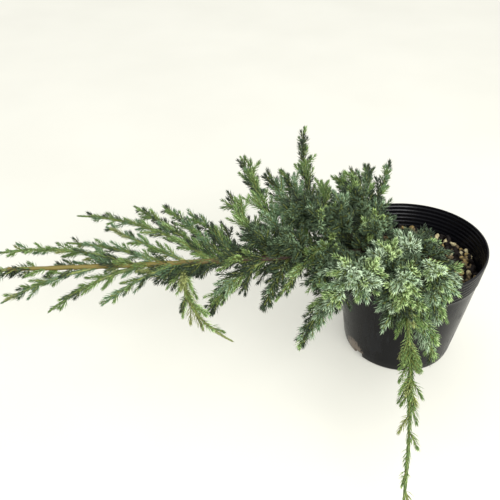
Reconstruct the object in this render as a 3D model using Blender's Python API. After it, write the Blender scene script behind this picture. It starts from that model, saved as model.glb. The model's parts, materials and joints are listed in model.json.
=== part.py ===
"""Blue carpet juniper, a young creeping conifer, in its thin black nursery pot.

The foot of the pot stands on the ground plane, its centre is the origin, and +Z is up. Sizes are
millimetres until MM turns them into metres. Azimuths are degrees in plan from +X towards +Y. A limb or
a stem runs from its parent to its tip in one bow: rise lifts its middle and swing moves it sideways,
both as shares of its length.
"""

import math
import random
from dataclasses import dataclass

import bmesh
import bpy
import numpy as np

MM = 0.001
GAP = 0.3
UP = np.array([0.0, 0.0, 1.0])

# The pot: a soft moulded pot of 105 mm, with a ribbed band under its rim
POT_HEIGHT = 88.0
RIM_RADIUS = 52.5
FOOT_RADIUS = 39.5
WALL = 0.9
FLOOR = 1.4
FLOOR_CORNER = 0.6
CORNER = 2.5
CORNER_IN = 0.3
CORNER_UP = 0.25
RIB_COUNT = 6
RIB_PITCH = 3.0
RIB_DEPTH = 0.45
RIM_WAVE = 0.016
RIM_WAVES = 3
RIM_WAVE_AZIMUTH = 30.0
POT_SIDES = 28
POT_SMOOTH_ANGLE = 40.0
DRAIN_COUNT = 6
DRAIN_RADIUS = 4.0
DRAIN_SIDES = 8
DRAIN_AZIMUTH = 215.0
DRAIN_LEAN = 38.0

# The growing mix that fills the pot to this level
SOIL_LEVEL = 70.0
SOIL_DOME = 1.6
SOIL_BUMP = 0.9
SOIL_RINGS = 5
SOIL_SEED = 4
SOIL_GAP = 0.45
SOIL_EDGE_INSET = 0.4
SOIL_FOOT_INSET = 1.2
SOIL_SHOULDER = 1.5

# Foliage: whorls of three needles on a core, drawn larger than life so that few faces show them
NEEDLES = 3
WHORL_PITCH = 9.4
WHORL_LEAN = 0.85
NEEDLE_SHARE = 0.25
NEEDLE_SIZES = (1.0, 0.7, 0.4)
NEEDLE_TAPER = 0.5
PROBES = (0.3, 0.6)
STEM_CORE = (1.5, 0.8)
TWIG_CORE = (1.2, 0.7)
BARE_FOOT = 5.0
STEM_STEP = 4.0
TWIG_SPACING = 13.0
EXTRA_TWIGS = 3
TWIGS_FROM = 0.12
TWIGS_ALONG = 0.78
TWIG_SHIFT = 0.2
TWIG_ROLL = 20.0
TWIG_TAPER = 0.6
TWIG_LENGTHS = (0.9, 1.12)
TWIG_ANGLE = 35.0
TWIG_SPREAD = 7.0
TWIG_CURL = 0.26
SHORTEST_TWIG = 7.0
TWIG_CUT = 0.85
TWIG_STEP = 3.0
GOLDEN_ANGLE = 137.5
SPACE_MARGIN = 0.6
GROUND_MARGIN = 3.0
POT_MARGIN = 1.8


@dataclass
class Limb:
    """A bare limb. at is where it leaves its parent, as a share of the parent's length."""

    name: str
    parent: str
    at: float
    tip: tuple
    rise: float
    swing: float
    foot: float
    end: float
    sides: int = 6
    steps: int = 6


@dataclass
class Mass:
    """A mass of foliage round one stem. reach is the length of its longest side shoot."""

    name: str
    parent: str
    at: float
    tip: tuple
    rise: float
    swing: float
    reach: float


TRUNK_FOOT = (-5.0, 2.0, SOIL_LEVEL + SOIL_DOME + GAP)
ROOT_FLARE = 0.55
ROOT_FLARE_LENGTH = 4.0
LIMB_SMOOTH_ANGLE = 50.0
LEAST_SINE = 0.2
LEAST_COSINE = 0.4

LIMBS = [
    Limb("trunk", "", 0, (-38, -19, 93), 0.16, 0.0, 4.6, 3.4, 9),
    Limb("leader_bough", "trunk", 1, (-268, -43, 97), 0.0, -0.02, 2.5, 1.3, 7, 16),
    Limb("crown_bough", "trunk", 0.80, (-74, 6, 107), 0.06, 0.05, 2.2, 1.5),
    Limb("back_bough", "trunk", 0.50, (-32, 32, 102), 0.14, 0.05, 2.2, 1.5),
    Limb("front_bough", "trunk", 0.44, (-17, -52, 95), 0.20, 0.03, 2.2, 1.5),
    Limb("side_bough", "trunk", 0.86, (-47, -48, 97), 0.08, 0.0, 2.0, 1.5),
    Limb("front_right_bough", "trunk", 0.20, (6, -42, 100), 0.20, 0.0, 2.0, 1.5),
    Limb("right_bough", "trunk", 0.08, (4, 0, 84), 0.10, 0.0, 1.8, 1.4),
]

MASSES = [
    Mass("leader_tip_spray", "leader_bough", 1, (-292, -46, 91), 0.02, 0.0, 10),
    Mass("far_upper_spray", "leader_bough", 0.65, (-286, -20, 92), 0.10, 0.05, 11),
    Mass("middle_upper_spray", "leader_bough", 0.56, (-236, -14, 97), 0.04, 0.05, 11),
    Mass("inner_upper_spray", "leader_bough", 0.50, (-210, -7, 105), 0.0, 0.0, 12),
    Mass("long_upper_spray", "leader_bough", 0.43, (-231, 4, 107), 0.08, 0.12, 12),
    Mass("far_upright_spray", "leader_bough", 0.41, (-194, 16, 107), 0.02, 0.0, 12),
    Mass("upright_spray", "leader_bough", 0.39, (-173, 11, 110), 0.02, 0.02, 13),
    Mass("short_upright_spray", "leader_bough", 0.33, (-156, 10, 105), 0.02, 0.02, 13),
    Mass("near_upright_spray", "leader_bough", 0.36, (-141, -6, 104), 0.02, 0.0, 13),
    Mass("low_left_crest", "leader_bough", 0.27, (-127, 18, 115), 0.02, -0.04, 17),
    Mass("left_crest", "leader_bough", 0.19, (-120, 42, 132), 0.02, -0.04, 19),
    Mass("inner_left_crest", "leader_bough", 0.12, (-101, 36, 124), 0.02, -0.04, 19),
    Mass("left_top_crest", "crown_bough", 1, (-90, 36, 124), 0.02, 0.0, 15),
    Mass("far_lower_spray", "leader_bough", 0.74, (-270, -58, 82), 0.04, 0.06, 11),
    Mass("middle_lower_spray", "leader_bough", 0.62, (-240, -62, 78), 0.07, 0.06, 11),
    Mass("inner_lower_spray", "leader_bough", 0.53, (-206, -60, 82), 0.05, 0.06, 11),
    Mass("drooping_spray", "leader_bough", 0.51, (-125, -79, 69), 0.02, 0.36, 14),
    Mass("low_spray", "leader_bough", 0.27, (-140, -57, 75), 0.08, 0.05, 17),
    Mass("low_tuft", "leader_bough", 0.21, (-105, -64, 83), 0.08, 0.0, 10),
    Mass("crossing_spray", "crown_bough", 0.4, (-97, -63, 88), 0.14, 0.0, 12),
    Mass("leader_tuft", "leader_bough", 0.24, (-112, -20, 110), 0.02, 0.0, 14),
    Mass("left_tuft", "leader_bough", 0.15, (-94, -30, 111), 0.02, 0.0, 16),
    Mass("near_left_tuft", "leader_bough", 0.07, (-74, -59, 95), 0.08, 0.0, 15),
    Mass("top_crest", "crown_bough", 0.87, (-74, 63, 145), -0.05, -0.08, 15),
    Mass("middle_crest", "crown_bough", 0.66, (-61, 41, 112), 0.02, 0.03, 16),
    Mass("heart_left_tuft", "crown_bough", 0.7, (-90, -8, 120), 0.06, 0.0, 17),
    Mass("heart_tuft", "crown_bough", 0.55, (-72, -20, 122), 0.04, 0.0, 17),
    Mass("heart_top_tuft", "crown_bough", 0.25, (-56, -8, 121), 0.04, 0.0, 17),
    Mass("back_crest", "back_bough", 1, (-38, 54, 115), 0.02, 0.0, 13),
    Mass("back_left_crest", "back_bough", 0.78, (-50, 46, 114), 0.02, 0.0, 13),
    Mass("back_right_crest", "back_bough", 0.86, (-25, 58, 117), 0.02, 0.0, 12),
    Mass("right_crest", "back_bough", 0.62, (-8, 64, 116), -0.02, 0.02, 10),
    Mass("back_heart_tuft", "back_bough", 0.6, (-44, 12, 118), 0.02, 0.0, 17),
    Mass("shoulder_tuft", "back_bough", 0.38, (-25, 11, 108), 0.02, 0.0, 11),
    Mass("heart_right_tuft", "back_bough", 0.3, (-35, -24, 114), 0.0, 0.0, 17),
    Mass("soil_tuft", "right_bough", 1, (-3, -1, 92), 0.02, 0.0, 9),
    Mass("right_tuft", "right_bough", 0.6, (-15, -9, 99), 0.02, 0.0, 12),
    Mass("right_spray", "front_right_bough", 0.25, (4, -18, 96), 0.06, 0.0, 12),
    Mass("rim_tuft", "front_right_bough", 0.5, (-18, -40, 110), 0.02, 0.0, 16),
    Mass("front_right_spray", "front_right_bough", 0.85, (17, -50, 93), 0.06, 0.0, 8),
    Mass("front_tuft", "front_right_bough", 1, (-2, -74, 84), 0.24, 0.0, 16),
    Mass("front_crown_tuft", "front_bough", 0.5, (-34, -50, 110), 0.0, 0.0, 17),
    Mass("front_top_tuft", "front_bough", 0.8, (-18, -62, 105), 0.04, 0.0, 17),
    Mass("front_mass", "front_bough", 0.9, (-29, -76, 80), 0.34, 0.0, 17),
    Mass("hanging_tuft", "front_bough", 0.95, (-1, -88, 62), 0.16, 0.0, 13),
    Mass("hanging_spray", "front_bough", 1, (-35, -184, 27), 0.04, -0.06, 14),
    Mass("front_left_mass", "side_bough", 0.85, (-43, -68, 99), 0.16, 0.0, 16),
    Mass("lower_left_tuft", "side_bough", 0.95, (-66, -72, 88), 0.12, 0.0, 12),
    Mass("side_tuft", "side_bough", 0.6, (-56, -58, 107), 0.04, 0.0, 16),
    Mass("low_left_spray", "side_bough", 1, (-82, -76, 60), 0.10, 0.12, 13),
]


def cleared_scene():
    for obj in list(bpy.data.objects):
        bpy.data.objects.remove(obj, do_unlink=True)


def principled(name, colour, roughness):
    """A plain material with its colour in linear light."""
    material = bpy.data.materials.new(name)
    material.use_nodes = True
    shader = material.node_tree.nodes["Principled BSDF"]
    shader.inputs["Base Color"].default_value = (*colour, 1.0)
    shader.inputs["Roughness"].default_value = roughness
    shader.inputs["Metallic"].default_value = 0.0
    material.diffuse_color = (*colour, 1.0)
    return material


def added_object(name, points, faces, material):
    """A mesh object from points in millimetres."""
    mesh = bpy.data.meshes.new(name)
    mesh.from_pydata([tuple(MM * c for c in point) for point in points], [], faces)
    mesh.materials.append(material)
    mesh.update()
    obj = bpy.data.objects.new(name, mesh)
    bpy.context.scene.collection.objects.link(obj)
    return obj


def facing_out(obj):
    """Turns every face outwards and leaves only triangles."""
    work = bmesh.new()
    work.from_mesh(obj.data)
    bmesh.ops.recalc_face_normals(work, faces=work.faces)
    bmesh.ops.triangulate(work, faces=work.faces)
    work.to_mesh(obj.data)
    work.free()
    return obj


def unit(vector):
    return vector / np.linalg.norm(vector)


def bend_of(start, branch):
    """The point that the branch's one bow is drawn towards."""
    chord = np.array(branch.tip, float) - start
    side = unit(np.cross(chord, UP))
    return start + 0.5 * chord + np.linalg.norm(chord) * (branch.rise * UP + branch.swing * side)


def bowed_path(start, branch, step):
    """Points along the branch from its start to its tip, about a step apart."""
    tip, bend = np.array(branch.tip, float), bend_of(start, branch)
    count = max(3, round(np.linalg.norm(tip - start) / step))
    t = np.linspace(0, 1, count + 1)[:, None]
    return start * (1 - t) ** 2 + bend * 2 * t * (1 - t) + tip * t**2


def side_vectors(points):
    """Three unit vectors at each point of a path: two across it, that don't twist, and one along it."""
    ways = np.gradient(points, axis=0)
    ways /= np.linalg.norm(ways, axis=1)[:, None]
    first = np.cross(ways[0], UP)
    if np.linalg.norm(first) < 0.1:
        first = np.cross(ways[0], [0.0, 1.0, 0.0])
    across = [unit(first)]
    for way in ways[1:]:
        across.append(unit(across[-1] - way * (across[-1] @ way)))
    across = np.array(across)
    return across, np.cross(ways, across), ways


def distance_to_path(points, path):
    """The distance of each point from a polyline."""
    start, step = path[:-1], np.diff(path, axis=0)
    apart = points[:, None, :] - start[None]
    share = np.clip((apart * step).sum(2) / (step * step).sum(1), 0.0, 1.0)
    return np.linalg.norm(apart - share[..., None] * step, axis=2).min(1)


def tube_faces(ring_count, sides):
    """The faces of a closed tube: rings of points, a flat start and a flat end."""
    faces = [list(range(sides))[::-1]]
    for ring in range(ring_count - 1):
        for i in range(sides):
            j = (i + 1) % sides
            low, high = ring * sides, (ring + 1) * sides
            faces.append([low + i, low + j, high + j, high + i])
    faces.append([(ring_count - 1) * sides + i for i in range(sides)])
    return faces


# The pot

def pot_radius(z):
    """The plain outer radius of the tapered wall at this height."""
    return FOOT_RADIUS + (RIM_RADIUS - FOOT_RADIUS) * z / POT_HEIGHT


def pot_ring(radius, z):
    """The points of one ring of the soft wall, which is out of round at the rim and round at the foot."""
    ring = []
    for i in range(POT_SIDES):
        a = 2 * math.pi * i / POT_SIDES
        wave = math.cos(RIM_WAVES * (a - math.radians(RIM_WAVE_AZIMUTH)))
        r = radius * (1 + RIM_WAVE * (z / POT_HEIGHT) ** 2 * wave)
        ring.append((r * math.cos(a), r * math.sin(a), z))
    return ring


def pot_profile():
    """(radius, height) round the wall's section: up the outside, over the rim, down the inside."""
    band = POT_HEIGHT - RIB_COUNT * RIB_PITCH
    outside = [(FOOT_RADIUS - CORNER, 0.0), (FOOT_RADIUS - CORNER_IN * CORNER, CORNER_UP * CORNER)]
    outside.append((pot_radius(CORNER), CORNER))
    for rib in range(RIB_COUNT):
        low = band + rib * RIB_PITCH
        outside.append((pot_radius(low), low))
        outside.append((pot_radius(low) + RIB_DEPTH, low + 0.5 * RIB_PITCH))
    outside.append((pot_radius(POT_HEIGHT), POT_HEIGHT))
    inside = [(r - WALL, z) for r, z in reversed(outside[3:])]
    inside.append((pot_radius(FLOOR) - WALL, FLOOR + FLOOR_CORNER))
    return outside + inside


def build_pot(material):
    rings = pot_profile()
    points = [point for r, z in rings for point in pot_ring(r, z)]
    pot = facing_out(added_object("pot", points, tube_faces(len(rings), POT_SIDES), material))
    pot.data.shade_smooth()
    pot.data.set_sharp_from_angle(angle=math.radians(POT_SMOOTH_ANGLE))
    for i in range(DRAIN_COUNT):
        cut_drain(pot, DRAIN_AZIMUTH + 360 * i / DRAIN_COUNT)


def cut_drain(pot, azimuth):
    """A round drain that opens through the corner between the foot and the wall."""
    a = math.radians(azimuth)
    centre = (FOOT_RADIUS - CORNER) * MM * np.array([math.cos(a), math.sin(a), 0.0])
    bpy.ops.mesh.primitive_cylinder_add(
        vertices=DRAIN_SIDES, radius=DRAIN_RADIUS * MM, depth=3 * DRAIN_RADIUS * MM, location=centre
    )
    cutter = bpy.context.object
    cutter.name = f"drain_cutter_{round(azimuth)}"
    cutter.rotation_euler = (0, math.radians(DRAIN_LEAN), a)
    cutter.hide_render = True
    cutter.display_type = "WIRE"
    cut = pot.modifiers.new(cutter.name, "BOOLEAN")
    cut.operation = "DIFFERENCE"
    cut.solver = "EXACT"
    cut.object = cutter


def build_soil(material):
    """The mix as one closed body inside the wall, with a low dome and a lumpy top."""
    bumps = random.Random(SOIL_SEED)
    inner = WALL + SOIL_GAP
    edge = pot_radius(SOIL_LEVEL) - inner - SOIL_EDGE_INSET
    foot = pot_ring(pot_radius(FLOOR) - inner - SOIL_FOOT_INSET, FLOOR + FLOOR_CORNER + GAP)
    rings = [foot, pot_ring(edge, SOIL_LEVEL - SOIL_SHOULDER)]
    for step in range(SOIL_RINGS):
        share = 1 - step / SOIL_RINGS
        ring = pot_ring(edge * share, SOIL_LEVEL + SOIL_DOME * (1 - share**2))
        if step:
            ring = [(x, y, z - SOIL_BUMP * bumps.random()) for x, y, z in ring]
        rings.append(ring)
    points = [point for ring in rings for point in ring]
    facing_out(added_object("growing_mix", points, tube_faces(len(rings), POT_SIDES), material))


# Limbs

@dataclass
class Grown:
    """A limb or a stem as it lies: its axis and its radius at each point of the axis."""

    path: np.ndarray
    radii: np.ndarray

    def at(self, share):
        """The point on the axis, the unit vector along it and the radius, at a share of the length."""
        place = share * (len(self.path) - 1)
        low = min(int(place), len(self.path) - 2)
        part = place - low
        point = self.path[low] * (1 - part) + self.path[low + 1] * part
        radius = self.radii[low] * (1 - part) + self.radii[low + 1] * part
        return point, unit(self.path[low + 1] - self.path[low]), radius

    def length(self):
        return float(np.linalg.norm(np.diff(self.path, axis=0), axis=1).sum())


def foot_of(branch, parent, radius):
    """Where a branch starts, so that its foot clears its parent by GAP."""
    point, along, parent_radius = parent.at(branch.at)
    way = unit(bend_of(point, branch) - point)
    cosine = float(np.clip(along @ way, -1, 1))
    sine = max(math.sqrt(1 - cosine**2), LEAST_SINE)
    if branch.at >= 1:
        return point + way * (GAP + radius * sine) / max(cosine, LEAST_COSINE)
    return point + way * (parent_radius + GAP + radius * abs(cosine)) / sine


def grow_limbs():
    grown = {}
    for limb in LIMBS:
        start = foot_of(limb, grown[limb.parent], limb.foot) if limb.parent else np.array(TRUNK_FOOT)
        path = bowed_path(start, limb, np.linalg.norm(np.array(limb.tip) - start) / limb.steps)
        grown[limb.name] = Grown(path, np.linspace(limb.foot, limb.end, len(path)))
    trunk = grown["trunk"]
    climbed = np.linspace(0, trunk.length(), len(trunk.path))
    trunk.radii *= 1 + ROOT_FLARE * np.exp(-climbed / ROOT_FLARE_LENGTH)
    return grown


def build_limb(limb, grown, material):
    """A tapering limb with flat ends. The trunk's foot is cut level with the soil."""
    across, up, _ = side_vectors(grown.path)
    points = []
    for centre, radius, first, second in zip(grown.path, grown.radii, across, up):
        for i in range(limb.sides):
            a = 2 * math.pi * i / limb.sides
            points.append(centre + radius * (math.cos(a) * first + math.sin(a) * second))
    if not limb.parent:
        for i in range(limb.sides):
            points[i] = np.array([points[i][0], points[i][1], TRUNK_FOOT[2]])
    faces = tube_faces(len(grown.path), limb.sides)
    obj = facing_out(added_object(limb.name, points, faces, material))
    obj.data.shade_smooth()
    obj.data.set_sharp_from_angle(angle=math.radians(LIMB_SMOOTH_ANGLE))


# Foliage

class Space:
    """What each mass may fill: points nearer to its stem than to any other, clear of limbs, pot and ground."""

    def __init__(self, limbs, stems):
        self.limbs = limbs
        self.stems = stems

    def clear(self, points, own):
        ok = (points[:, 2] > GROUND_MARGIN) & ~in_pot(points)
        for limb in self.limbs.values():
            ok &= distance_to_path(points, limb.path) > limb.radii.max() + SPACE_MARGIN
        mine = distance_to_path(points, self.stems[own].path)
        for name, stem in self.stems.items():
            if name != own:
                ok &= mine + SPACE_MARGIN < distance_to_path(points, stem.path)
        return ok


def in_pot(points):
    """Whether each point is in or too near the pot's wall or the growing mix."""
    z = points[:, 2]
    r = np.hypot(points[:, 0], points[:, 1])
    wall = pot_radius(z)
    slack = POT_MARGIN + RIM_RADIUS * RIM_WAVE
    near_wall = (z < POT_HEIGHT + POT_MARGIN) & (np.abs(r - wall + 0.5 * WALL) < slack)
    in_soil = (z < SOIL_LEVEL + SOIL_DOME + POT_MARGIN) & (r < wall)
    return near_wall | in_soil


def shoot_faces(ring_count):
    """Triangles over rings of three points, each turned half a step past the last, and a point at the end."""
    faces = [[2, 1, 0]]
    for ring in range(ring_count - 1):
        low, high = ring * NEEDLES, (ring + 1) * NEEDLES
        for i in range(NEEDLES):
            j = (i + 1) % NEEDLES
            faces += [[low + i, low + j, high + i], [high + i, low + j, high + j]]
    last = (ring_count - 1) * NEEDLES
    return faces + [[last, last + 1, last + 3], [last + 1, last + 2, last + 3], [last + 2, last, last + 3]]


def whorled_shoot(path, cores, first_whorl, needle_length, keeps):
    """A closed core with whorls of three forward needles, as (points, faces), or None if it has no room.

    keeps(points) says whether the shoot may use all of the points. A needle that may not stand is
    shortened or left out, and the shoot ends where its core would leave its space.
    """
    length = np.linalg.norm(np.diff(path, axis=0), axis=1).sum()
    frames = (path, *side_vectors(path))

    def spot(s, angle, out, forward=0.0):
        place = np.clip(s / length, 0, 1) * (len(path) - 1)
        low = min(int(place), len(path) - 2)
        part = place - low
        centre, first, second, way = (v[low] * (1 - part) + v[low + 1] * part for v in frames)
        return centre + out * (math.cos(angle) * first + math.sin(angle) * second) + way * forward

    def core(s):
        return cores[0] + (cores[1] - cores[0]) * s / length

    def ring_angles(whorl):
        return [2 * math.pi * (i + 0.5 * whorl) / NEEDLES for i in range(NEEDLES)]

    points = [spot(0, a, core(0)) for a in ring_angles(0)]
    whorl_count = max(1, round((length - first_whorl) / WHORL_PITCH))
    pitch = (length - first_whorl) / whorl_count
    end = 0.0
    for whorl in range(whorl_count):
        s = first_whorl + whorl * pitch
        ring = [spot(s, a, core(s)) for a in ring_angles(whorl)]
        between = [spot(s - share * pitch, a, core(s)) for a in ring_angles(whorl) for share in PROBES]
        if whorl and not keeps(ring + between):
            break
        end = s + WHORL_LEAN * pitch
        taper = 1 - NEEDLE_TAPER * (s / length) ** 2
        points += ring
        for a in ring_angles(whorl):
            tip = spot(end, a, core(end))
            for size in NEEDLE_SIZES:
                needle = spot(end, a, core(end) + size * taper * needle_length)
                if keeps([needle, 0.5 * (needle + tip), 0.5 * (needle + ring[0])]):
                    tip = needle
                    break
            points.append(tip)
    if not end:
        return None
    points.append(spot(end + 0.5 * pitch, 0.0, 0.0))
    return points, shoot_faces(len(points) // NEEDLES)


def twigs_of(mass, stem, order):
    """The seeded rule for side shoots: (root, way of the stem, way of the shoot, length) of each."""
    dice = random.Random(100 + order)
    roll = dice.uniform(0, 360)
    count = EXTRA_TWIGS + round(TWIGS_ALONG * stem.length() / TWIG_SPACING)
    for i in range(count):
        place = (i + dice.uniform(-TWIG_SHIFT, TWIG_SHIFT)) / count
        share = TWIGS_FROM + TWIGS_ALONG * place
        roll += GOLDEN_ANGLE + dice.uniform(-TWIG_ROLL, TWIG_ROLL)
        length = mass.reach * (1 - TWIG_TAPER * share) * dice.uniform(*TWIG_LENGTHS)
        root, way, _ = stem.at(share)
        side = unit(np.cross(way, UP))
        out = math.cos(math.radians(roll)) * side + math.sin(math.radians(roll)) * np.cross(side, way)
        lean = math.radians(TWIG_ANGLE + dice.uniform(-TWIG_SPREAD, TWIG_SPREAD))
        yield root, way, math.cos(lean) * way + math.sin(lean) * out, length


def twig_path(root, way, aim, length):
    """A side shoot's path, which sets out along aim and curls towards the way of its stem."""
    s = np.linspace(0, length, max(3, round(length / TWIG_STEP)) + 1)[:, None]
    return root + aim * s + way * TWIG_CURL * s**2 / length


def keep_largest_shell(mesh):
    """Keeps the shell with most faces, which fills hollows that fusing seals and drops loose scraps."""
    work = bmesh.new()
    work.from_mesh(mesh)
    left, shells = set(work.verts), []
    while left:
        shell, edge = set(), [left.pop()]
        while edge:
            vert = edge.pop()
            shell.add(vert)
            near = {link.other_vert(vert) for link in vert.link_edges} & left
            left -= near
            edge += near
        shells.append(shell)
    largest = max(shells, key=len)
    bmesh.ops.delete(work, geom=[vert for vert in work.verts if vert not in largest], context="VERTS")
    work.to_mesh(mesh)
    work.free()


def joined(name, pieces):
    """One closed solid from overlapping pieces, by a Boolean union on a collection."""
    body, others = pieces[0], pieces[1:]
    if others:
        collection = bpy.data.collections.new(f"{name}_twigs")
        bpy.context.scene.collection.children.link(collection)
        for obj in others:
            bpy.context.scene.collection.objects.unlink(obj)
            collection.objects.link(obj)
        union = body.modifiers.new("fused", "BOOLEAN")
        union.operation = "UNION"
        union.operand_type = "COLLECTION"
        union.solver = "EXACT"
        union.collection = collection
        bpy.context.view_layer.update()
        graph = bpy.context.evaluated_depsgraph_get()
        mesh = bpy.data.meshes.new_from_object(body.evaluated_get(graph))
        body.modifiers.clear()
        keep_largest_shell(mesh)
        body.data = mesh
        for obj in others:
            bpy.data.objects.remove(obj, do_unlink=True)
        bpy.data.collections.remove(collection)
    body.name = name


def build_mass(mass, order, space, material):
    stem = space.stems[mass.name]

    def keeps(points):
        return bool(space.clear(np.array(points), mass.name).all())

    needle = NEEDLE_SHARE * mass.reach
    made = whorled_shoot(stem.path, STEM_CORE, BARE_FOOT, needle, keeps)
    pieces = [facing_out(added_object(mass.name, *made, material))]
    for root, way, aim, length in twigs_of(mass, stem, order):
        while length > SHORTEST_TWIG and not keeps(twig_path(root, way, aim, length)[1:]):
            length *= TWIG_CUT
        if length > SHORTEST_TWIG:
            made = whorled_shoot(twig_path(root, way, aim, length), TWIG_CORE, 0.0, needle, keeps)
            if made:
                pieces.append(facing_out(added_object(f"{mass.name}_twig", *made, material)))
    joined(mass.name, pieces)


def main():
    cleared_scene()
    plastic = principled("moulded_black_plastic", (0.012, 0.012, 0.013), 0.42)
    mix = principled("growing_mix_grit", (0.09, 0.065, 0.04), 0.9)
    bark = principled("juniper_bark", (0.09, 0.055, 0.03), 0.8)
    needles = principled("juniper_needles", (0.18, 0.25, 0.14), 0.6)

    build_pot(plastic)
    build_soil(mix)

    limbs = grow_limbs()
    for limb in LIMBS:
        build_limb(limb, limbs[limb.name], bark)

    stems = {}
    for mass in MASSES:
        path = bowed_path(foot_of(mass, limbs[mass.parent], STEM_CORE[0]), mass, STEM_STEP)
        stems[mass.name] = Grown(path, np.linspace(*STEM_CORE, len(path)))
    space = Space(limbs, stems)
    for order, mass in enumerate(MASSES):
        build_mass(mass, order, space, needles)


main()
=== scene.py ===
"""Blue carpet juniper in its nursery pot: bark, shoots, needles, mix and pot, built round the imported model.

Lengths are millimetres inside the making functions and metres in the settings and in the finished meshes. The
growth rule is the one that the solids were made by, carried on to finer shoots and to single needles.
"""

import json
import math
import random
from dataclasses import dataclass, field

import bmesh
import bpy
import numpy as np
from bpy.props import FloatProperty, FloatVectorProperty, IntProperty, PointerProperty
from bpy.types import Operator, Panel, PropertyGroup
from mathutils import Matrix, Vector, noise

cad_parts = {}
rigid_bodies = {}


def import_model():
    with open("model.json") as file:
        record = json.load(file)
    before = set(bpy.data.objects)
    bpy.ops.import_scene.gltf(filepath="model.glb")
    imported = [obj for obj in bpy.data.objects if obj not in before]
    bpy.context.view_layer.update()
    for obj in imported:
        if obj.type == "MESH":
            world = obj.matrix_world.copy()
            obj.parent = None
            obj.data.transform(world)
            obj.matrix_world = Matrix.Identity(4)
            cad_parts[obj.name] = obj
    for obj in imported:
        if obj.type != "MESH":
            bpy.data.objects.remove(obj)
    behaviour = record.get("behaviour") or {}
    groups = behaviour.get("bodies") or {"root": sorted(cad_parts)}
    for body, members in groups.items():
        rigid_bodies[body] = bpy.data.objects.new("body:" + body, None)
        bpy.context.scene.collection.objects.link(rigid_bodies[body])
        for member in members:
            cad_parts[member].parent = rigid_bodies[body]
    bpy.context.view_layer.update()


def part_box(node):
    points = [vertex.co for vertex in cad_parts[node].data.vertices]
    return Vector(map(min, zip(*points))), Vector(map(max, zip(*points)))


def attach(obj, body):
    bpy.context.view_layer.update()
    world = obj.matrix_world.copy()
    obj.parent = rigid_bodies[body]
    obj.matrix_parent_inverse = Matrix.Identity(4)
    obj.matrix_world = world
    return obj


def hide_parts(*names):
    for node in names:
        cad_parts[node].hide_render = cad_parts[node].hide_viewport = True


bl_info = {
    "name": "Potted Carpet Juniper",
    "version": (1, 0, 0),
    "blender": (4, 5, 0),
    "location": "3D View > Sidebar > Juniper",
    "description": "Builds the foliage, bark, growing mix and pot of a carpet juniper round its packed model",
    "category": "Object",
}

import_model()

MM = 0.001
BODY = "root"
UP = np.array([0.0, 0.0, 1.0])


def linear(code):
    """The linear RGB of an sRGB hex colour."""
    values = [int(code[i : i + 2], 16) / 255 for i in (1, 3, 5)]
    return tuple(v / 12.92 if v <= 0.04045 else ((v + 0.055) / 1.055) ** 2.4 for v in values)


# The pot and its filling, in millimetres and degrees. The pot's height comes from the frame
POT_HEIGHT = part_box("pot")[1].z / MM
RIM_RADIUS = 52.5
FOOT_RADIUS = 39.5
WALL = 0.9
FLOOR = 1.4
CORNER = 2.5
RIB_COUNT = 6
RIB_PITCH = 3.0
RIB_DEPTH = 0.45
LIP = 0.35
RIM_WAVE = 0.016
RIM_WAVES = 3
RIM_WAVE_AZIMUTH = 30.0
POT_SIDES = 196
DRAIN_COUNT = 6
DRAIN_RADIUS = 4.0
DRAIN_AZIMUTH = 215.0
DRAIN_LEAN = 38.0
SPILL_AZIMUTH = 208.0
SPILL_HEIGHT = 5.0
SPILL_RADIUS = 17.0
SOIL_LEVEL = 70.0
SOIL_DOME = 1.6
SOIL_GAP = 0.45
BED_DROP = 1.6
BED_GAP = 0.4
BED_SHOULDER = 2.5
LUMP_SPACING = 11.0
LUMP_HEIGHT = 0.9
LUMP_PLACE = 3.1
GAP = 0.3

# The growth rule, in millimetres and degrees
STEM_CORE = (1.5, 0.8)
STEM_STEP = 4.0
LIMB_STEPS = {"leader_bough": 16}
SHORT_LIMB_STEPS = 6
TWIG_SPACING = 13.0
EXTRA_TWIGS = 3
TWIGS_FROM = 0.12
TWIGS_ALONG = 0.78
TWIG_SHIFT = 0.2
TWIG_ROLL = 20.0
TWIG_TAPER = 0.6
TWIG_LENGTHS = (0.9, 1.12)
TWIG_ANGLE = 35.0
TWIG_SPREAD = 7.0
TWIG_CURL = 0.26
SHORTEST_TWIG = 7.0
TWIG_CUT = 0.85
TWIG_STEP = 3.0
GOLDEN_ANGLE = 137.5
UPRIGHT = 0.95
SPACE_MARGIN = 0.6
GROUND_MARGIN = 3.0
POT_MARGIN = 1.8
LEAST_SINE = 0.2
LEAST_COSINE = 0.4
ROOT_FLARE = 0.55
ROOT_FLARE_LENGTH = 4.0
TRUNK_FOOT = (-5.0, 2.0, SOIL_LEVEL + SOIL_DOME + GAP)


@dataclass
class Limb:
    """A bare limb, which leaves its parent at this share of the parent's length.

    rise and swing bow it upwards and sideways, as shares of its own length. foot and end are its radii.
    """

    name: str
    parent: str
    at: float
    tip: tuple
    rise: float
    swing: float
    foot: float
    end: float


@dataclass
class Mass:
    """A mass of foliage round one stem, placed and bowed like a limb. reach is its longest side shoot."""

    name: str
    parent: str
    at: float
    tip: tuple
    rise: float
    swing: float
    reach: float


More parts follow.
